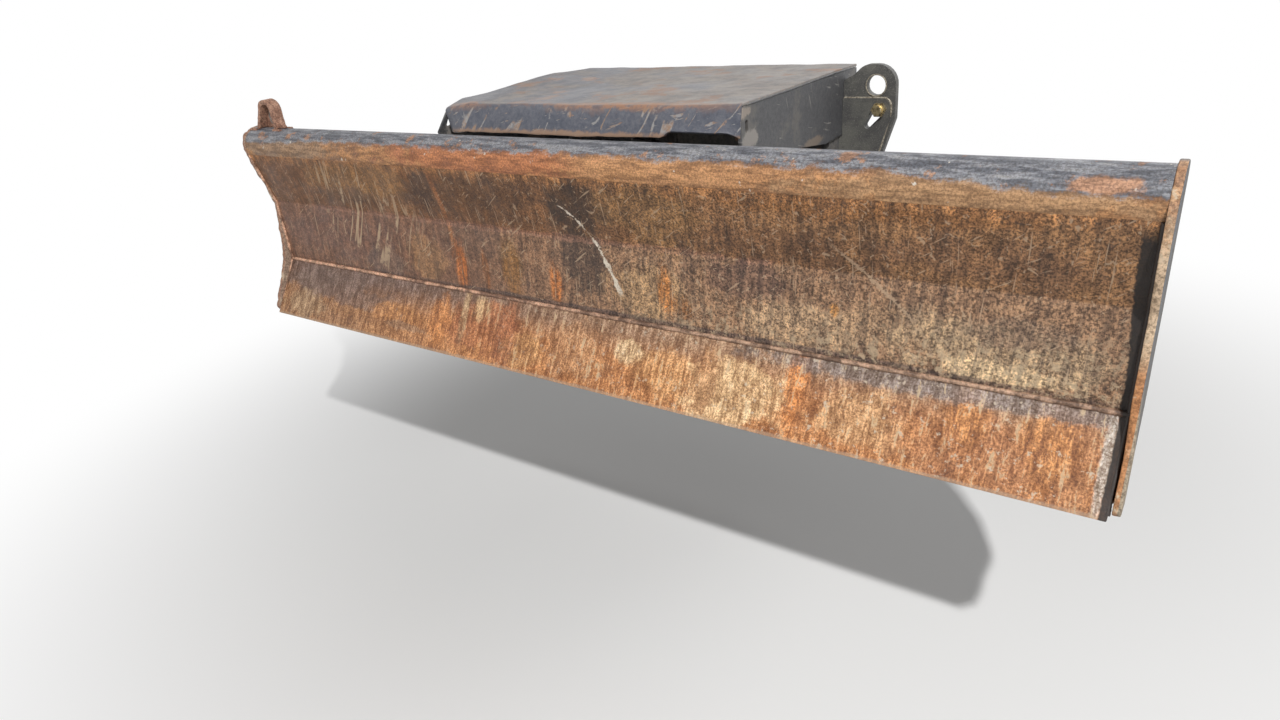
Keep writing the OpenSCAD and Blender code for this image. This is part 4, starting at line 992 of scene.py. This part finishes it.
# With a seed, the knocks come out the same in each run
knock_seed = 1795772770
noise.seed_set(knock_seed)
end_rust = Finish("end_plate_rust", roughness=0.62)
end_ragged = end_rust.noise(24, 10, 0.75)
end_grain = end_rust.noise(150, 6, 0.78)
end_rust.tone = end_rust.mix(end_rust.grade(end_ragged, 0.4, 0.58), (0.3, 0.155, 0.08), (0.46, 0.27, 0.145))
right_side = end_rust.grade(end_rust.x, -0.1, 0.1)
end_rust.tone = end_rust.mix(right_side, end_rust.mix(0.55, end_rust.tone, (0.2, 0.105, 0.08)), end_rust.tone)
outside = end_rust.grade(end_rust.calc("ABSOLUTE", end_rust.x), 1.2742, 1.2748)
inside = end_rust.grade(end_rust.calc("ABSOLUTE", end_rust.x), 1.2618, 1.2612)
pale_knock = end_rust.patch((1.268, 0, 0.2), (0.06, 0, 0.12), end_ragged)
end_rust.over(pale_knock, (0.58, 0.45, 0.31), 0.7)
orange_foot = end_rust.patch((1.268, 0, -0.04), (0.06, 0, 0.12), end_ragged)
end_rust.over(orange_foot, (0.42, 0.175, 0.06), 0.75)
outer_tint = end_rust.mix(end_rust.grade(end_rust.z, 0.06, -0.02), (0.115, 0.118, 0.13), (0.3, 0.24, 0.17))
end_rust.over(outside, outer_tint)
# The left plate's inner face is pale rust; the right plate's inner face is painted near-black as shade.
inner_colour_and_painted_shade = end_rust.mix(right_side, (0.3, 0.215, 0.16), (0.016, 0.012, 0.01))
end_rust.over(inside, inner_colour_and_painted_shade)
end_rust.tinted(end_grain, 0.36, 0.62, (0.5, 0.48, 0.46), (1.5, 1.52, 1.55))
chips = end_rust.times(end_rust.grade(end_ragged, 0.56, 0.6), end_rust.calc("SUBTRACT", 1.0, outside))
end_rust.over(chips, (0.62, 0.5, 0.36), 0.75)
end_rear = end_rust.grade(end_rust.y, -0.765, -0.742, 0, 0.92)
rear_grey = end_rust.mix(end_rust.grade(end_ragged, 0.4, 0.6), (0.075, 0.072, 0.072), (0.125, 0.115, 0.105))
end_rust.over(end_rear, rear_grey)
end_rust.roughness(end_rust.grade(end_ragged, 0.35, 0.65, 0.5, 0.7))
end_rust.done(end_rust.calc("ADD", end_grain, end_ragged), 0.0014)


def battered(mesh, rounding, segments, spacing, knock):
    """Rounds a piece's corners, slices it across each (axis, step) and knocks the points about."""
    corners = [edge for edge in mesh.edges if edge.is_manifold and edge.calc_face_angle() > 0.9]
    bmesh.ops.bevel(mesh, geom=corners, offset=rounding, segments=segments, profile=0.5,
                    affect="EDGES", material=-1)
    for axis, step in spacing:
        low, high = (pick(vert.co[axis] for vert in mesh.verts) for pick in (min, max))
        across = Vector([float(number == axis) for number in range(3)])
        for cut in range(1, math.ceil((high - low) / step)):
            parts = mesh.verts[:] + mesh.edges[:] + mesh.faces[:]
            bmesh.ops.bisect_plane(mesh, geom=parts, dist=0.00002,
                                   plane_co=across * (low + step * cut), plane_no=across)
    for vert in mesh.verts:
        vert.co += knock(vert.co)


def end_knock(place):
    """How far a point of an end plate is knocked about: most at the front, least behind."""
    exposed = max(ramp(place.y, -0.735, -0.785), 0.1)
    push = noise.noise_vector(place * 19) * 0.005 + noise.noise_vector(place * 70) * 0.003
    push.x = 0
    if place.x > 0:
        for middle, reach, depth in right_dents:
            push.y -= depth * math.exp(-((place.z - middle) / reach) ** 2)
        push.x = foot_bend * ramp(place.z, 0.02, -0.08)
    return push * exposed


for side in ("left", "right"):
    end_mesh = fresh_copy("end_plate_" + side)
    battered(end_mesh, 0.0022, 2, ((2, 0.006), (1, 0.012)), end_knock)
    make_piece("battered_end_" + side, end_mesh, end_rust, "blade",
               ("end_plate_" + side,), 50)
end_line = [(-0.86, -0.178), (-0.7695, -0.031), (-0.766, -0.018), (-0.766, 0.1762), (-0.8135, 0.34)]
end_runs = [(0.0042, [(inner_half - 0.0012, y, z) for y, z in end_line])]
add_beads("end_plate_welds", bead, "blade", both_sides(end_runs))


# Corner loop
# A flat bar bent to a hoop and welded on the tube's left end, with a thin plate behind
# it and a small gusset. Its rounded rim is rusted pink and orange, the plate is grey.
loop = Finish("loop_rust", roughness=0.62)
loop_ragged = loop.noise(34, 8, 0.74)
loop_grain = loop.noise(190, 5, 0.75)
loop.tone = loop.mix(loop.grade(loop_ragged, 0.4, 0.6), (0.23, 0.115, 0.075), (0.36, 0.205, 0.14))
behind = loop.grade(loop.y, -0.7492, -0.7482)
within = loop.patch((-1.165, 0, 0.455), (0.03, 0, 0.036), loop_ragged, 0.1, 0.4)
loop.over(loop.times(behind, within), (0.2, 0.19, 0.175))
loop.tinted(loop_grain, 0.36, 0.62, (0.45, 0.42, 0.4), (1.6, 1.6, 1.6))
loop.done(loop_grain, 0.001)


def loop_knock(place):
    """A bent and hammered bar is nowhere quite true."""
    return noise.noise_vector(place * 45) * 0.0012 + noise.noise_vector(place * 140) * 0.0006


loop_mesh = fresh_copy("corner_loop")
battered(loop_mesh, 0.003, 3, ((2, 0.006), (0, 0.006)), loop_knock)
make_piece("hooped_bar", loop_mesh, loop, "blade", ("corner_loop",), 50)
loop_feet = [(0.0045, [(x0, y, z), (x1, y, z)]) for x0, x1 in ((-1.262, -1.228), (-1.138, -1.098))
             for y, z in ((-0.7795, 0.4145), (-0.7405, 0.4145))]
add_beads("loop_welds", loop, "blade", loop_feet)
